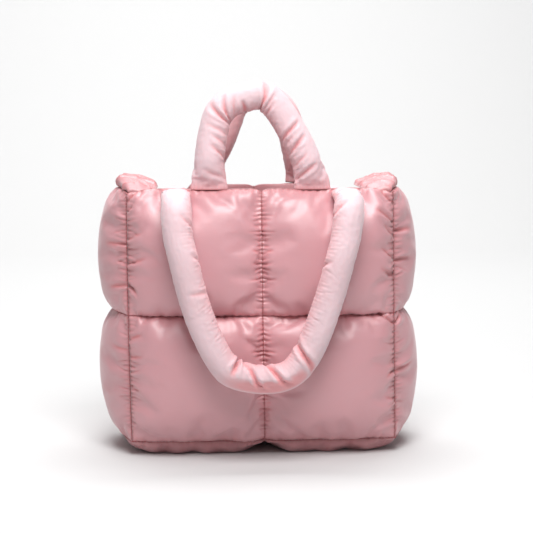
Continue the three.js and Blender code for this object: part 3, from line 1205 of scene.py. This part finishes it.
@dataclass
class StuffedTube:
    """A handle or strap: a stuffed tube with flat sewn ends."""

    name: str
    node: str
    route: Array
    diameter: float
    end_width: float
    end_thickness: float
    end_length: float
    seed: int
    creases: tuple[TubeCrease, ...]
    seam_angle: float
    mirrored: bool
    ruching: float
    end_pleats: float = 0.0
    # How much painted shade falls on the side towards the mouth.
    shade: float = 0.0
    squareness: float = 0.0
    foot: float | None = None
    held_rings: int = 3
    inflation: Inflation = Inflation(pressure=14, spare_cloth=0.06, bending=0.6, frames=18, cap=9 * MM)
    sides: int = 48
    step: float = 2.4 * MM
    seam_gathers: float = 3.3 * MM
    seam_reach: float = 20 * MM
    plain_end: float = 8 * MM
    level_end: float = 14 * MM
    # Reach of the painted shade inside the bend, in creases and at the ends, and of the painted crevice
    # line at the ends.
    inner_half: float = 50.0
    crease_shade: float = 2.2 * MM
    end_shade: float = 7 * MM
    end_seam: float = 1.2 * MM

    def cross_sections(self, line: Array, sides: Array, faces: Array, fill: float) -> Array:
        """Rings of points round a line.

        Args:
            line: Points of the line.
            sides: Side direction at each point.
            faces: Face direction at each point.
            fill: Share of the full diameter.

        Returns:
            The grid, along the line and then round it.
        """
        full = smooth(to_nearer_end(path_lengths(line)) / self.end_length)[:, None, None]
        half_width = (self.end_width + (self.diameter * fill - self.end_width) * full) / 2
        half_thickness = (self.end_thickness + (self.diameter * fill - self.end_thickness) * full) / 2
        angle = 2 * np.pi * np.arange(self.sides)[None, :, None] / self.sides
        flatness = 1 - self.squareness * (1 - full)
        across, up = np.cos(angle), np.sin(angle)
        round_side = sides[:, None] * half_width * np.sign(across) * np.abs(across) ** flatness
        round_face = faces[:, None] * half_thickness * np.sign(up) * np.abs(up) ** flatness
        return line[:, None] + round_side + round_face

    def skin(self) -> tuple[Array, Array, Array]:
        """Blows up and creases the tube's cloth.

        Returns:
            The points of the skin, the distance of each ring along the tube, and the height of the
            creases.
        """
        length = np.linalg.norm(np.diff(self.route, axis=0), axis=1).sum() * 1.02
        count = round(length / self.step)
        line = curve_points(self.route, count)
        sides, faces = frames_along(line, np.array([1.0, 0.0, 0.0]))
        fill = 0.94
        start = self.cross_sections(line, sides, faces, fill)
        place = path_lengths(line)
        straight = np.stack([0 * place, 0 * place, place], -1)
        along_x = np.tile([1.0, 0.0, 0.0], (count, 1))
        along_y = np.tile([0.0, 1.0, 0.0], (count, 1))
        rest = self.cross_sections(straight, along_x, along_y, fill)
        held = np.zeros(start.shape[:2], dtype=bool)
        held[: self.held_rings] = True
        held[-self.held_rings :] = True
        noise = np.random.default_rng(self.seed).normal(0, 0.2 * MM, start.shape) * ~held[..., None]
        blown = self.inflation.run(start + noise, held, rest=rest, closed=True)
        form = self.cross_sections(line, sides, faces, 1.0)
        grid = keep_form(relax(blown, ~held, 1, closed=True), form, ~held, closed=True)
        grid = refine_ring(refine(grid, 1, 0, 2), 2)
        place = refine(np.repeat(place[:, None, None], 3, axis=2), 1, 0, 2)[:, 0, 0]
        relief = self.creasing(grid, place)
        return self.levelled(raise_relief(grid, relief, closed=True), place), place, relief

    def levelled(self, grid: Array, place: Array) -> Array:
        """Brings both ends down flat onto the level that the feet stand on.

        Args:
            grid: Points of the skin.
            place: Distance of each ring along the tube.

        Returns:
            The skin, unchanged if the tube has no feet.
        """
        if self.foot is None:
            return grid
        out = grid.copy()
        for end, to_end in ((0, place), (-1, place[-1] - place)):
            near = 1 - smooth(to_end / self.level_end)
            out[..., 2] += near[:, None] * (self.foot - grid[end, :, 2])[None]
        return out

    def creasing(self, grid: Array, place: Array) -> Array:
        """Height of the creases and of the fine gathers along the tube's own seam.

        Args:
            grid: Points of the skin.
            place: Distance of each ring along the tube.

        Returns:
            How far each point moves outwards.
        """
        angle = 2 * np.pi * np.arange(grid.shape[1])[None] / grid.shape[1]
        along = np.repeat(place[:, None], grid.shape[1], axis=1)
        round_way = np.repeat(angle, grid.shape[0], axis=0)
        total = np.zeros(along.shape)
        for crease in self.creases:
            total += crease.relief(along, round_way)
        turn = wrapped(round_way - math.radians(self.seam_angle))
        away = np.abs(turn) * self.diameter / 2
        gathers = Gathers(
            start=0.0,
            end=place[-1],
            spacing=self.seam_gathers,
            reach=self.seam_reach,
            depth=self.ruching,
            seed=self.seed,
            slack=even,
            open_end=0.05,
        )
        for pucker in gathers.puckers():
            total += pucker.relief(along, away)
        to_end = to_nearer_end(place)[:, None]
        total = total * smooth(to_end / self.plain_end)
        pleats = np.sin(17 * angle + 2 * np.sin(3 * angle)) * np.exp(-((to_end / self.plain_end) ** 2))
        return total + self.end_pleats * pleats

    def build(self) -> bpy.types.Object:
        """Builds the tube as one closed padded piece.

        Returns:
            The piece, riding on the body.
        """
        grid, place, relief = self.skin()
        if self.mirrored:
            grid = grid * HALF_TURN
        rows, columns = grid.shape[:2]
        round_way = np.repeat(np.arange(columns)[None] * math.pi * self.diameter / columns, rows, axis=0)
        cloth = np.stack([round_way, np.repeat(place[:, None], columns, axis=1)], -1)
        to_end = to_nearer_end(place)[:, None]
        angle = 2 * np.pi * np.arange(columns)[None] / columns
        # Painted shade: a deeper tone inside the bend, on the side towards the mouth, in the creases and
        # at the ends, and a dark crevice line at the sewn ends.
        inside = 0.5 * np.exp(-((wrapped(angle) / math.radians(self.inner_half)) ** 2))
        to_mouth = -np.sign(grid[..., 1].mean()) * grid_normals(grid, closed=True)[..., 1]
        shaded = self.shade * np.clip(1.6 * to_mouth, 0, 1)
        hollow = np.clip(-relief / self.crease_shade, 0, 0.9)
        ends = 0.9 * np.exp(-to_end / self.end_shade)
        deep = np.maximum(np.maximum(inside, shaded), np.maximum(hollow, ends))
        seam = np.broadcast_to(np.exp(-to_end / self.end_seam), (rows, columns))
        shell = Shell.tube(grid, cloth, seam, deep)
        piece = shell.to_object(self.name)
        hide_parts(self.node)
        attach(piece, BODY)
        return piece


@dataclass(frozen=True)
class SectionPoint:
    """A point of the folded gusset's outline, in shares of its width inwards and of its height."""

    inward: float
    up: float


FOLD_BULGE = 0.06
FOLD_SECTION = (
    SectionPoint(0.0, 0.0),
    SectionPoint(-FOLD_BULGE, 0.3),
    SectionPoint(-FOLD_BULGE, 0.7),
    SectionPoint(0.04, 0.95),
    SectionPoint(0.2, 1.0),
    SectionPoint(0.4, 0.9),
    SectionPoint(0.6, 0.7),
    SectionPoint(0.78, 0.46),
    SectionPoint(0.93, 0.22),
    SectionPoint(1.0, 0.0),
)


@dataclass
class GussetFold:
    """The unpadded top of a gusset, gathered and folded in over the end of the mouth."""

    sizes: BodySizes
    name: str
    node: str
    seed: int
    mirrored: bool = False
    width: float = 42 * MM
    height: float = 12 * MM
    corner_drop: float = 4 * MM
    pleat: float = 14 * MM
    pleat_depth: float = 3.8 * MM
    slant: float = 2.6 * MM
    wander: float = 5 * MM
    crumple: float = 2.0 * MM
    overhang: float = 2.6 * MM
    end_share: float = 0.3
    over: int = 64
    under: int = 8
    lengthwise: int = 190

    def section(self) -> tuple[Array, Array]:
        """Outline of the fold: over it from the gusset inwards, and back along its flat base.

        Returns:
            Shares inwards and shares up.
        """
        rows = [(row.inward, 0.0, row.up) for row in FOLD_SECTION]
        top = curve_points(rows, self.over)
        base = np.linspace(top[-1], top[0], self.under + 2)[1:-1]
        outline = np.concatenate([top, base])
        return outline[None, :, 0], np.maximum(0, outline[None, :, 2])

    def build(self) -> bpy.types.Object:
        """Builds the fold as one closed crumpled piece.

        Returns:
            The piece, riding on the body.
        """
        sizes = self.sizes
        along = np.linspace(-1, 1, self.lengthwise)[:, None]
        full = self.end_share + (1 - self.end_share) * np.sqrt(np.maximum(0, 1 - along**2))
        inward, up = self.section()
        bow = sizes.gusset_bow * GUSSET_BOWS[2] * (1 - along**2)
        outer = sizes.half_width + bow + sizes.seam_half - FOLD_BULGE * self.width
        roll = inward * self.width * full
        place = np.broadcast_to(along * (sizes.rim_half_depth - sizes.seam_half), roll.shape)
        base = sizes.rim + sizes.seam_gap - self.corner_drop * along**6
        grid = np.stack([roll - outer, place, base + up * self.height * full], -1)
        warped = place + self.slant * ripple(roll + place, self.seed, 38 * MM, 3)
        warped += self.wander * ripple(place, self.seed + 5, 60 * MM, 2)
        uneven = np.clip(0.75 + 0.6 * ripple(place, self.seed + 3, 34 * MM, 1), 0.3, 1.2)
        ridge = np.abs(np.sin(np.pi * warped / self.pleat)) ** 0.7
        crumple = self.crumple * (np.abs(ripple(roll + 0.4 * place, self.seed + 7, 44 * MM, 2)) - 0.3)
        loose = smooth(up * 3) * smooth((1 - np.abs(along)) * 6)
        relief = (self.pleat_depth * (ridge - 0.75) * uneven + crumple) * loose
        grid = raise_relief(grid, -relief, closed=True)
        grid[..., 1] += (1 if self.mirrored else -1) * self.overhang * ridge * loose * uneven
        if self.mirrored:
            grid = grid * HALF_TURN
        # Painted shade in the valleys between the pleats; the seam amount is zero.
        deep = np.clip(1 - 1.6 * ridge, 0, 1) * uneven / 1.2
        shell = Shell.tube(grid, np.stack([roll, place], -1), 0 * deep, deep, inwards=True)
        piece = shell.to_object(self.name)
        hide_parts(self.node)
        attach(piece, BODY)
        return piece


@dataclass(frozen=True)
class Graph:
    """A node tree in the making."""

    tree: bpy.types.NodeTree

    def add(self, kind: str, inputs: Inputs | None = None, **settings: str) -> bpy.types.Node:
        """Adds a node.

        Args:
            kind: Type of the node.
            inputs: A value for each input, or the socket that feeds it.
            settings: Properties of the node itself, which are set before its inputs.

        Returns:
            The node.
        """
        node = self.tree.nodes.new(kind)
        for name, setting in settings.items():
            setattr(node, name, setting)
        self.fill(node, inputs or {})
        return node

    def fill(self, node: bpy.types.Node, inputs: Inputs) -> None:
        """Sets or links a node's inputs.

        Args:
            node: The node.
            inputs: A value for each input, or the socket that feeds it.
        """
        for name, value in inputs.items():
            if isinstance(value, bpy.types.NodeSocket):
                self.tree.links.new(value, node.inputs[name])
            else:
                node.inputs[name].default_value = value


@dataclass(frozen=True)
class Nylon:
    """Soft nylon over filling: a little sheen, a fine weave and small crinkles, with painted shade in its
    folds and a painted line of crevice shadow on its seams.
    """

    name: str
    colour: Colour
    # Colours of the painted shade in folds and of the painted crevice shadow on seams.
    deep_colour: Colour
    painted_crevice_shadow_colour: Colour = (0.24, 0.05, 0.055)
    roughness: float = 0.45
    specular: float = 1.0
    sheen: float = 0.3
    thread: float = 0.35 * MM
    crinkle: float = 5 * MM

    def build(self) -> bpy.types.Material:
        """Makes the material.

        Returns:
            The material, which reads object coordinates, the cloth UV map and both attributes of painted
            shade.
        """
        material = bpy.data.materials.new(self.name)
        material.use_nodes = True
        graph = Graph(material.node_tree)
        place = graph.add("ShaderNodeTexCoord").outputs["Object"]
        cloth = graph.add("ShaderNodeUVMap", uv_map="cloth").outputs["UV"]
        seam = graph.add("ShaderNodeAttribute", attribute_name="seam").outputs["Fac"]
        deep = graph.add("ShaderNodeAttribute", attribute_name="deep").outputs["Fac"]

        # Mixes towards the painted shade colour where the attribute says, plus a random patchy tone of the
        # cloth itself.
        patches = graph.add("ShaderNodeTexNoise", {"Vector": place, "Scale": 14, "Detail": 3})
        spread = graph.add("ShaderNodeMapRange", {"Value": patches.outputs["Fac"], "To Max": 0.2})
        amount = graph.add(
            "ShaderNodeMath", {0: deep, 1: 0.75, 2: spread.outputs["Result"]}, operation="MULTIPLY_ADD"
        )
        share, plain, painted_dark_tint = amount.outputs["Value"], (*self.colour, 1), (*self.deep_colour, 1)
        tint = graph.add("ShaderNodeMix", {"Factor": share, "A": plain, "B": painted_dark_tint}, data_type="RGBA")
        # Mixes in a dark line of painted crevice shadow on the seams.
        line = graph.add("ShaderNodeMapRange", {"Value": seam, "From Min": 0.1, "To Max": 0.8})
        share, plain, painted_dark_tint = line.outputs["Result"], tint.outputs["Result"], (*self.painted_crevice_shadow_colour, 1)
        crevice = graph.add("ShaderNodeMix", {"Factor": share, "A": plain, "B": painted_dark_tint}, data_type="RGBA")

        scale = {"Vector": cloth, "Scale": math.pi / 10 / self.thread, "Distortion": 0.6}
        warp, weft = (graph.add("ShaderNodeTexWave", scale, bands_direction=way) for way in ("X", "Y"))
        weave = graph.add(
            "ShaderNodeMath", {0: warp.outputs["Fac"], 1: weft.outputs["Fac"]}, operation="MULTIPLY"
        )
        rough = {"Vector": place, "Scale": 1 / self.crinkle, "Detail": 4, "Roughness": 0.55}
        crinkles = graph.add("ShaderNodeTexNoise", rough)
        crinkled = graph.add(
            "ShaderNodeBump", {"Height": crinkles.outputs["Fac"], "Strength": 0.2, "Distance": 0.5 * MM}
        )
        woven = {"Height": weave.outputs["Value"], "Strength": 0.25, "Distance": 0.05 * MM}
        surface = graph.add("ShaderNodeBump", {"Normal": crinkled.outputs["Normal"], **woven})
        finish = {
            "Base Color": crevice.outputs["Result"],
            "Normal": surface.outputs["Normal"],
            "Roughness": self.roughness,
            "Specular IOR Level": self.specular,
            "Sheen Weight": self.sheen,
            "Sheen Roughness": 0.4,
            "Sheen Tint": (1.0, 0.92, 0.93, 1.0),
            "Subsurface Weight": 0.2,
            "Subsurface Radius": (1.0, 0.35, 0.3),
            "Subsurface Scale": 5 * MM,
        }
        graph.fill(material.node_tree.nodes["Principled BSDF"], finish)
        return material


@dataclass(frozen=True)
class Thread:
    """Matt sewing thread, darker than the cloth: partly its own tone and partly painted shade of the seam
    valleys that it lies in.
    """

    name: str = "sewing_thread"
    # Darkened partly as painted shade of the seam valleys.
    colour: Colour = (0.4, 0.11, 0.12)

    def build(self) -> bpy.types.Material:
        """Makes the material, with a fine twist.

        Returns:
            The material, which reads object coordinates.
        """
        material = bpy.data.materials.new(self.name)
        material.use_nodes = True
        graph = Graph(material.node_tree)
        place = graph.add("ShaderNodeTexCoord").outputs["Object"]
        twist = graph.add("ShaderNodeTexNoise", {"Vector": place, "Scale": 2500})
        bump = graph.add(
            "ShaderNodeBump", {"Height": twist.outputs["Fac"], "Strength": 0.4, "Distance": 0.1 * MM}
        )
        finish = {
            "Base Color": (*self.colour, 1),
            "Normal": bump.outputs["Normal"],
            "Roughness": 0.9,
            "Specular IOR Level": 0.1,
        }
        graph.fill(material.node_tree.nodes["Principled BSDF"], finish)
        return material


@dataclass
class Stitching:
    """Rows of stitches along seam lines, laid by a Geometry Nodes tree."""

    length: float = 2.6 * MM
    spacing: float = 3.4 * MM
    thickness: float = 0.4 * MM

    def tree(self, thread: bpy.types.Material) -> bpy.types.NodeTree:
        """Builds the tree, which lays one stitch at each step of every line.

        Args:
            thread: Material of the stitches.

        Returns:
            The tree, with its sizes as named inputs.
        """
        tree = bpy.data.node_groups.new("stitches", "GeometryNodeTree")
        face = tree.interface
        face.new_socket("Geometry", in_out="INPUT", socket_type="NodeSocketGeometry")
        for name in ("Stitch length", "Stitch spacing", "Thread thickness"):
            face.new_socket(name, in_out="INPUT", socket_type="NodeSocketFloat")
        face.new_socket("Geometry", in_out="OUTPUT", socket_type="NodeSocketGeometry")
        graph = Graph(tree)
        source = graph.add("NodeGroupInput").outputs
        line = graph.add("GeometryNodeMeshToCurve", {"Mesh": source["Geometry"]})
        every = {"Curve": line.outputs["Curve"], "Length": source["Stitch spacing"]}
        steps = graph.add("GeometryNodeCurveToPoints", every, mode="LENGTH")
        thick = source["Thread thickness"]
        stitch = graph.add("GeometryNodeMeshUVSphere", {"Segments": 6, "Rings": 4, "Radius": thick})
        stretch = graph.add("ShaderNodeMath", {0: source["Stitch length"], 1: thick}, operation="DIVIDE")
        halved = graph.add("ShaderNodeMath", {0: stretch.outputs["Value"], 1: 0.5}, operation="MULTIPLY")
        size = graph.add("ShaderNodeCombineXYZ", {"X": 1, "Y": 1, "Z": halved.outputs["Value"]})
        places = {"Points": steps.outputs["Points"], "Rotation": steps.outputs["Rotation"]}
        shapes = {"Instance": stitch.outputs["Mesh"], "Scale": size.outputs["Vector"]}
        lay = graph.add("GeometryNodeInstanceOnPoints", places | shapes)
        real = graph.add("GeometryNodeRealizeInstances", {"Geometry": lay.outputs["Instances"]})
        dressed = {"Geometry": real.outputs["Geometry"], "Material": thread}
        dress = graph.add("GeometryNodeSetMaterial", dressed)
        graph.add("NodeGroupOutput", {"Geometry": dress.outputs["Geometry"]})
        return tree

    def build(self, name: str, lines: Sequence[Array], tree: bpy.types.NodeTree) -> bpy.types.Object:
        """Lays stitches along lines and bakes them.

        Args:
            name: Name of the piece.
            lines: Points of each seam line.
            tree: The tree from the method tree.

        Returns:
            The stitches as one plain mesh, riding on the body.
        """
        points, edges = [], []
        for line in lines:
            start = len(points)
            points += line.tolist()
            edges += [(start + k, start + k + 1) for k in range(len(line) - 1)]
        mesh = bpy.data.meshes.new(name)
        mesh.from_pydata(points, edges, [])
        holder = bpy.data.objects.new(name, mesh)
        bpy.context.scene.collection.objects.link(holder)
        modifier = holder.modifiers.new("stitches", "NODES")
        modifier.node_group = tree
        sizes = {
            "Stitch length": self.length,
            "Stitch spacing": self.spacing,
            "Thread thickness": self.thickness,
        }
        for item in tree.interface.items_tree:
            if item.in_out == "INPUT" and item.name in sizes:
                modifier[item.identifier] = sizes[item.name]
        depsgraph = bpy.context.evaluated_depsgraph_get()
        baked = bpy.data.meshes.new_from_object(holder.evaluated_get(depsgraph))
        holder.modifiers.remove(modifier)
        holder.data = baked
        bpy.data.meshes.remove(mesh)
        baked.shade_smooth()
        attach(holder, BODY)
        return holder


@dataclass(frozen=True)
class StudioLight:
    """A large soft lamp."""

    name: str
    place: tuple[float, float, float]
    size: float
    watts: float
    aim: tuple[float, float, float]

    def build(self) -> None:
        """Hangs the lamp, turned to the point that it lights."""
        lamp = bpy.data.lights.new(self.name, "AREA")
        lamp.size = self.size
        lamp.energy = self.watts
        holder = bpy.data.objects.new(self.name, lamp)
        holder.location = self.place
        to_aim = Vector(self.aim) - Vector(self.place)
        holder.rotation_euler = to_aim.to_track_quat("-Z", "Y").to_euler()
        bpy.context.scene.collection.objects.link(holder)


@dataclass
class Studio:
    """White cyclorama, a soft lamp above and in front, a wash on the wall, and the camera."""

    aim: Vector = field(default_factory=lambda: Vector((10.5 * MM, 0.0, 200 * MM)))
    azimuth: float = -4.0
    elevation: float = 7.0
    distance: float = 1.7
    lens: float = 101.6
    world: float = 0.22
    lamps: tuple[StudioLight, ...] = (
        StudioLight("key", (0.0, -0.7, 1.15), 0.62, 15.5, (0.0, 0.0, 0.22)),
        StudioLight("wall_wash", (0.0, 0.9, 3.0), 2.0, 124.0, (0.0, 3.0, 0.6)),
    )

    def backdrop(self) -> None:
        """Builds the floor that curves up into a wall behind the bag."""
        near, back, radius, top, half = -4.0, 3.0, 1.2, 4.5, 6.0
        bend = [
            (back - radius + radius * math.sin(a), radius - radius * math.cos(a))
            for a in np.linspace(0, math.pi / 2, 25)
        ]
        profile = [(near, 0.0), *bend, (back, top)]
        points = [(x, y, z) for y, z in profile for x in (-half, half)]
        faces = [(2 * k, 2 * k + 1, 2 * k + 3, 2 * k + 2) for k in range(len(profile) - 1)]
        mesh = bpy.data.meshes.new("studio_floor")
        mesh.from_pydata(points, [], faces)
        mesh.shade_smooth()
        floor = bpy.data.objects.new("studio_floor", mesh)
        bpy.context.scene.collection.objects.link(floor)
        paper = bpy.data.materials.new("studio_paper")
        paper.use_nodes = True
        shader = paper.node_tree.nodes["Principled BSDF"]
        shader.inputs["Base Color"].default_value = (0.64, 0.64, 0.64, 1)
        shader.inputs["Roughness"].default_value = 0.85
        mesh.materials.append(paper)

    def build(self) -> None:
        """Sets up the world, the lamps, the backdrop and the camera."""
        scene = bpy.context.scene
        scene.view_settings.view_transform = "Standard"
        world = bpy.data.worlds.new("studio")
        world.use_nodes = True
        sky = world.node_tree.nodes["Background"]
        sky.inputs["Color"].default_value = (1, 1, 1, 1)
        sky.inputs["Strength"].default_value = self.world
        scene.world = world
        self.backdrop()
        for lamp in self.lamps:
            lamp.build()
        turn, lift = math.radians(self.azimuth), math.radians(self.elevation)
        back = Vector((math.sin(turn) * math.cos(lift), -math.cos(turn) * math.cos(lift), math.sin(lift)))
        camera = bpy.data.objects.new("camera", bpy.data.cameras.new("camera"))
        camera.data.lens = self.lens
        camera.location = self.aim + back * self.distance
        camera.rotation_euler = (-back).to_track_quat("-Z", "Y").to_euler()
        scene.collection.objects.link(camera)
        scene.camera = camera


@dataclass
class Tote:
    """The whole bag."""

    sizes: BodySizes
    shell: bpy.types.Material
    bottom: bpy.types.Material
    tube: bpy.types.Material
    thread: bpy.types.Material
    strap_drop: float = 196 * MM
    strap_diameter: float = 31 * MM
    strap_clearance: float = 1 * MM
    handle_rise: float = 101 * MM
    handle_diameter: float = 32 * MM
    handle_lean: float = 10 * MM

    def rim_out(self, across: float) -> float:
        """How far out the front rim's middle is at a place across it."""
        sizes = self.sizes
        bow = sizes.front_bow * FRONT_BOWS[2]
        return sizes.rim_half_depth + bow * (1 - (across / sizes.half_width) ** 2)

    @property
    def rows(self) -> tuple[tuple[float, float], tuple[float, float]]:
        """Lowest and highest level of each row of cushions."""
        sizes = self.sizes
        return (sizes.bottom_seam, sizes.middle_seam), (sizes.middle_seam, sizes.rim)

    def corner_runs(self, left: int, right: int) -> list[tuple[Seam, Gathers]]:
        """Gathers along both upright corner seams of a wall.

        Args:
            left: Seed for the seam on the left as seen from outside, which two walls that meet share.
            right: Seed for the seam on the right.

        Returns:
            Two runs for each seam, one for each row of cushions.
        """
        spacing, reach, depth = 5.4 * MM, 16 * MM, 1.3 * MM
        return [
            (seam, Gathers(start, end, spacing, reach, depth, seed + row, swell))
            for seam, seed in ((Seam.LEFT, left), (Seam.RIGHT, right))
            for row, (start, end) in enumerate(self.rows)
        ]

    def centre_runs(self, seed: int) -> list[tuple[Seam, Gathers]]:
        """Gathers along the upright seam in the middle of a wall.

        Args:
            seed: Seed of the lower run.

        Returns:
            A run for each row of cushions.
        """
        spacing, reach, depth, open_end = 5.2 * MM, 13 * MM, 1.5 * MM, 0.04
        return [
            (Seam.CENTRE, Gathers(start, end, spacing, reach, depth, seed + row, swell, open_end))
            for row, (start, end) in enumerate(self.rows)
        ]

    def level_runs(self, half: float, seed: int) -> list[tuple[Seam, Gathers]]:
        """Faint gathers along the seams that run round the body.

        Args:
            half: Half the wall's width.
            seed: Seed of the first run.

        Returns:
            A run for each seam.
        """
        spacing = 8 * MM
        levels = ((Seam.MIDDLE, 0.55, 9), (Seam.RIM, 0.75, 8), (Seam.BOTTOM, 0.5, 9))
        return [
            (seam, Gathers(-half, half, spacing, reach * MM, depth * MM, seed + k, even))
            for k, (seam, depth, reach) in enumerate(levels)
        ]

    def walls(self) -> list[PaddedWall]:
        """The padded walls with their gathers.

        Returns:
            The five walls.
        """
        sizes = self.sizes
        corner = {(Wall.FRONT, Wall.LEFT): 11, (Wall.FRONT, Wall.RIGHT): 21}
        corner |= {(Wall.BACK, Wall.LEFT): 31, (Wall.BACK, Wall.RIGHT): 41}
        neighbours = {
            Wall.FRONT: (Wall.LEFT, Wall.RIGHT),
            Wall.RIGHT: (Wall.FRONT, Wall.BACK),
            Wall.BACK: (Wall.RIGHT, Wall.LEFT),
            Wall.LEFT: (Wall.BACK, Wall.FRONT),
        }
        built: list[PaddedWall] = []
        for k, (wall, (left, right)) in enumerate(neighbours.items()):
            seeds = [corner.get((wall, end)) or corner[(end, wall)] for end in (left, right)]
            made = UprightWall(sizes, wall, seed=50 + k)
            runs = self.corner_runs(*seeds)
            runs += self.level_runs(made.span[0] / 2, 60 + 5 * k)
            if not made.is_gusset:
                runs += self.centre_runs(90 + 3 * k)
            made.gathers = [(seam, pucker) for seam, run in runs for pucker in run.puckers()]
            for (folded, seam), rows in FOLDS.items():
                if folded is wall:
                    made.gathers += [(seam, row.pucker()) for row in rows]
            built.append(made)
        round_base = Gathers(
            start=-sizes.half_width,
            end=sizes.half_width,
            spacing=8 * MM,
            reach=11 * MM,
            depth=0.8 * MM,
            seed=75,
            slack=even,
        ).puckers()
        base = BottomWall(sizes, Wall.BOTTOM, seed=70)
        base.gathers = [(seam, pucker) for seam in (Seam.RIM, Seam.BOTTOM) for pucker in round_base]
        built.append(base)
        return built

    def handle(
        self, name: str, node: str, shares: Sequence[RoutePoint], seed: int, mirrored: bool
    ) -> StuffedTube:
        """A carry handle that stands on a rim.

        Args:
            name: Name of the piece.
            node: CAD node that it stands for.
            shares: Its route.
            seed: Seed of its gathers.
            mirrored: Whether it is turned half round, onto the back.

        Returns:
            The handle.
        """
        half = HANDLE_ACROSS
        foot = self.sizes.rim + self.sizes.seam_gap
        out = self.rim_out(half)
        lean, rise = self.handle_lean, self.handle_rise
        route = np.array(
            [(p.across * half, lean * float(smooth(p.along)) - out, foot + p.along * rise) for p in shares]
        )
        return StuffedTube(
            name=name,
            node=node,
            route=route,
            diameter=self.handle_diameter,
            end_width=(32 if mirrored else 40) * MM,
            end_thickness=8 * MM,
            end_length=34 * MM,
            seed=seed,
            creases=HANDLE_CREASES,
            seam_angle=-10.0,
            mirrored=mirrored,
            ruching=0.3 * MM,
            end_pleats=0.3 * MM,
            # Painted shade on the side that faces the mouth.
            shade=0.55,
            foot=foot,
        )

    def strap(self, name: str, node: str, below_rim: float, seed: int, mirrored: bool) -> StuffedTube:
        """A shoulder strap that hangs down a face of the bag.

        Args:
            name: Name of the piece.
            node: CAD node that it stands for.
            below_rim: How far below the rim it is sewn on.
            seed: Seed of its gathers.
            mirrored: Whether it is turned half round, onto the back.

        Returns:
            The strap.
        """
        sizes = self.sizes
        root = self.rim_out(STRAP_ACROSS) + sizes.seam_half + sizes.seam_gap
        proudest = sizes.half_depth + sizes.front_bow + sizes.seam_half + sizes.front_loft
        hanging = proudest + self.strap_clearance + self.strap_diameter / 2
        top = sizes.rim - below_rim
        drop = self.strap_drop - below_rim
        route = np.array(
            [
                (p.across * STRAP_ACROSS, -(root + (hanging - root) * p.out), top - p.along * drop)
                for p in STRAP_ROUTE
            ]
        )
        return StuffedTube(
            name=name,
            node=node,
            route=route,
            diameter=self.strap_diameter,
            end_width=self.strap_diameter,
            end_thickness=8 * MM,
            end_length=50 * MM,
            seed=seed,
            creases=STRAP_CREASES,
            seam_angle=10.0,
            mirrored=mirrored,
            ruching=0.5 * MM,
            squareness=0.6,
        )

    def seam_paths(self, walls: Sequence[PaddedWall]) -> list[Array]:
        """Lines of stitches, just over the valleys between the cushions.

        Args:
            walls: The padded walls.

        Returns:
            The points of each line.
        """
        share = np.linspace(0, 1, 120)
        one, half, none = np.ones_like(share), np.full_like(share, 0.5), np.zeros_like(share)
        lines = []
        for wall in walls:
            lift = np.full_like(share, 0.3 * MM)
            if isinstance(wall, BottomWall):
                lines.append(wall.sheet(half, share, Layer.OUTER, lift))
                continue
            lines.append(wall.sheet(share, half, Layer.OUTER, lift))
            lines.append(wall.sheet(one, share, Layer.OUTER, lift))
            lines.append(wall.sheet(share, none, Layer.OUTER, lift))
            if isinstance(wall, UprightWall) and not wall.is_gusset:
                loft = wall.loft(half, share, Layer.OUTER)
                lines.append(wall.sheet(half, share, Layer.OUTER, loft + lift))
        return lines

    def build(self) -> None:
        """Builds every piece, dresses it and reports it."""
        made: list[tuple[bpy.types.Object, bpy.types.Material]] = []
        walls = self.walls()
        for wall in walls:
            made.append((wall.build(), self.bottom if wall.slot is Slot.BOTTOM else self.shell))
            LOG.info("wall %s: %d faces", wall.wall.value, len(made[-1][0].data.polygons))
        tubes = (
            self.handle("front_handle_tube", "front_handle", HANDLE_ROUTE, 201, False),
            self.handle("back_handle_tube", "back_handle", BACK_HANDLE_ROUTE, 202, True),
            self.strap("front_strap_tube", "front_strap", STRAP_BELOW[Wall.FRONT], 203, False),
            self.strap("back_strap_tube", "back_strap", STRAP_BELOW[Wall.BACK], 204, True),
        )
        for tube in tubes:
            made.append((tube.build(), self.tube))
            LOG.info("tube %s: %d faces", tube.name, len(made[-1][0].data.polygons))
        for name, mirrored in (("left_gusset_fold", False), ("right_gusset_fold", True)):
            fold = GussetFold(self.sizes, name + "_roll", name, 301 + mirrored, mirrored)
            made.append((fold.build(), self.bottom))
            LOG.info("fold %s: %d faces", name, len(made[-1][0].data.polygons))
        for piece, material in made:
            piece.data.materials.clear()
            piece.data.materials.append(material)
        stitching = Stitching()
        stitches = stitching.build("seam_stitches", self.seam_paths(walls), stitching.tree(self.thread))
        LOG.info("stitches: %d faces", len(stitches.data.polygons))


def main() -> None:
    """Builds the studio and the bag."""
    logging.basicConfig(level=logging.INFO, format="%(name)s: %(message)s")
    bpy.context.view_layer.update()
    Studio().build()
    tote = Tote(
        sizes=BodySizes.from_frame(),
        # Each nylon's second colour is the colour of its painted shade.
        shell=Nylon("satin_nylon", (0.6, 0.315, 0.345), (0.62, 0.185, 0.19)).build(),
        bottom=Nylon("satin_nylon_bottom", (0.54, 0.26, 0.28), (0.5, 0.14, 0.145)).build(),
        # Painted light: the tubes get a paler copy of the cushions' one-colour nylon, so that they look
        # more brightly lit; their deeper tone is painted shade.
        tube=Nylon(
            "satin_nylon_tube_painted_light", (0.71, 0.555, 0.59), (0.78, 0.31, 0.32), roughness=0.6, specular=0.2
        ).build(),
        thread=Thread().build(),
    )
    tote.build()


if __name__ == "__main__":
    main()
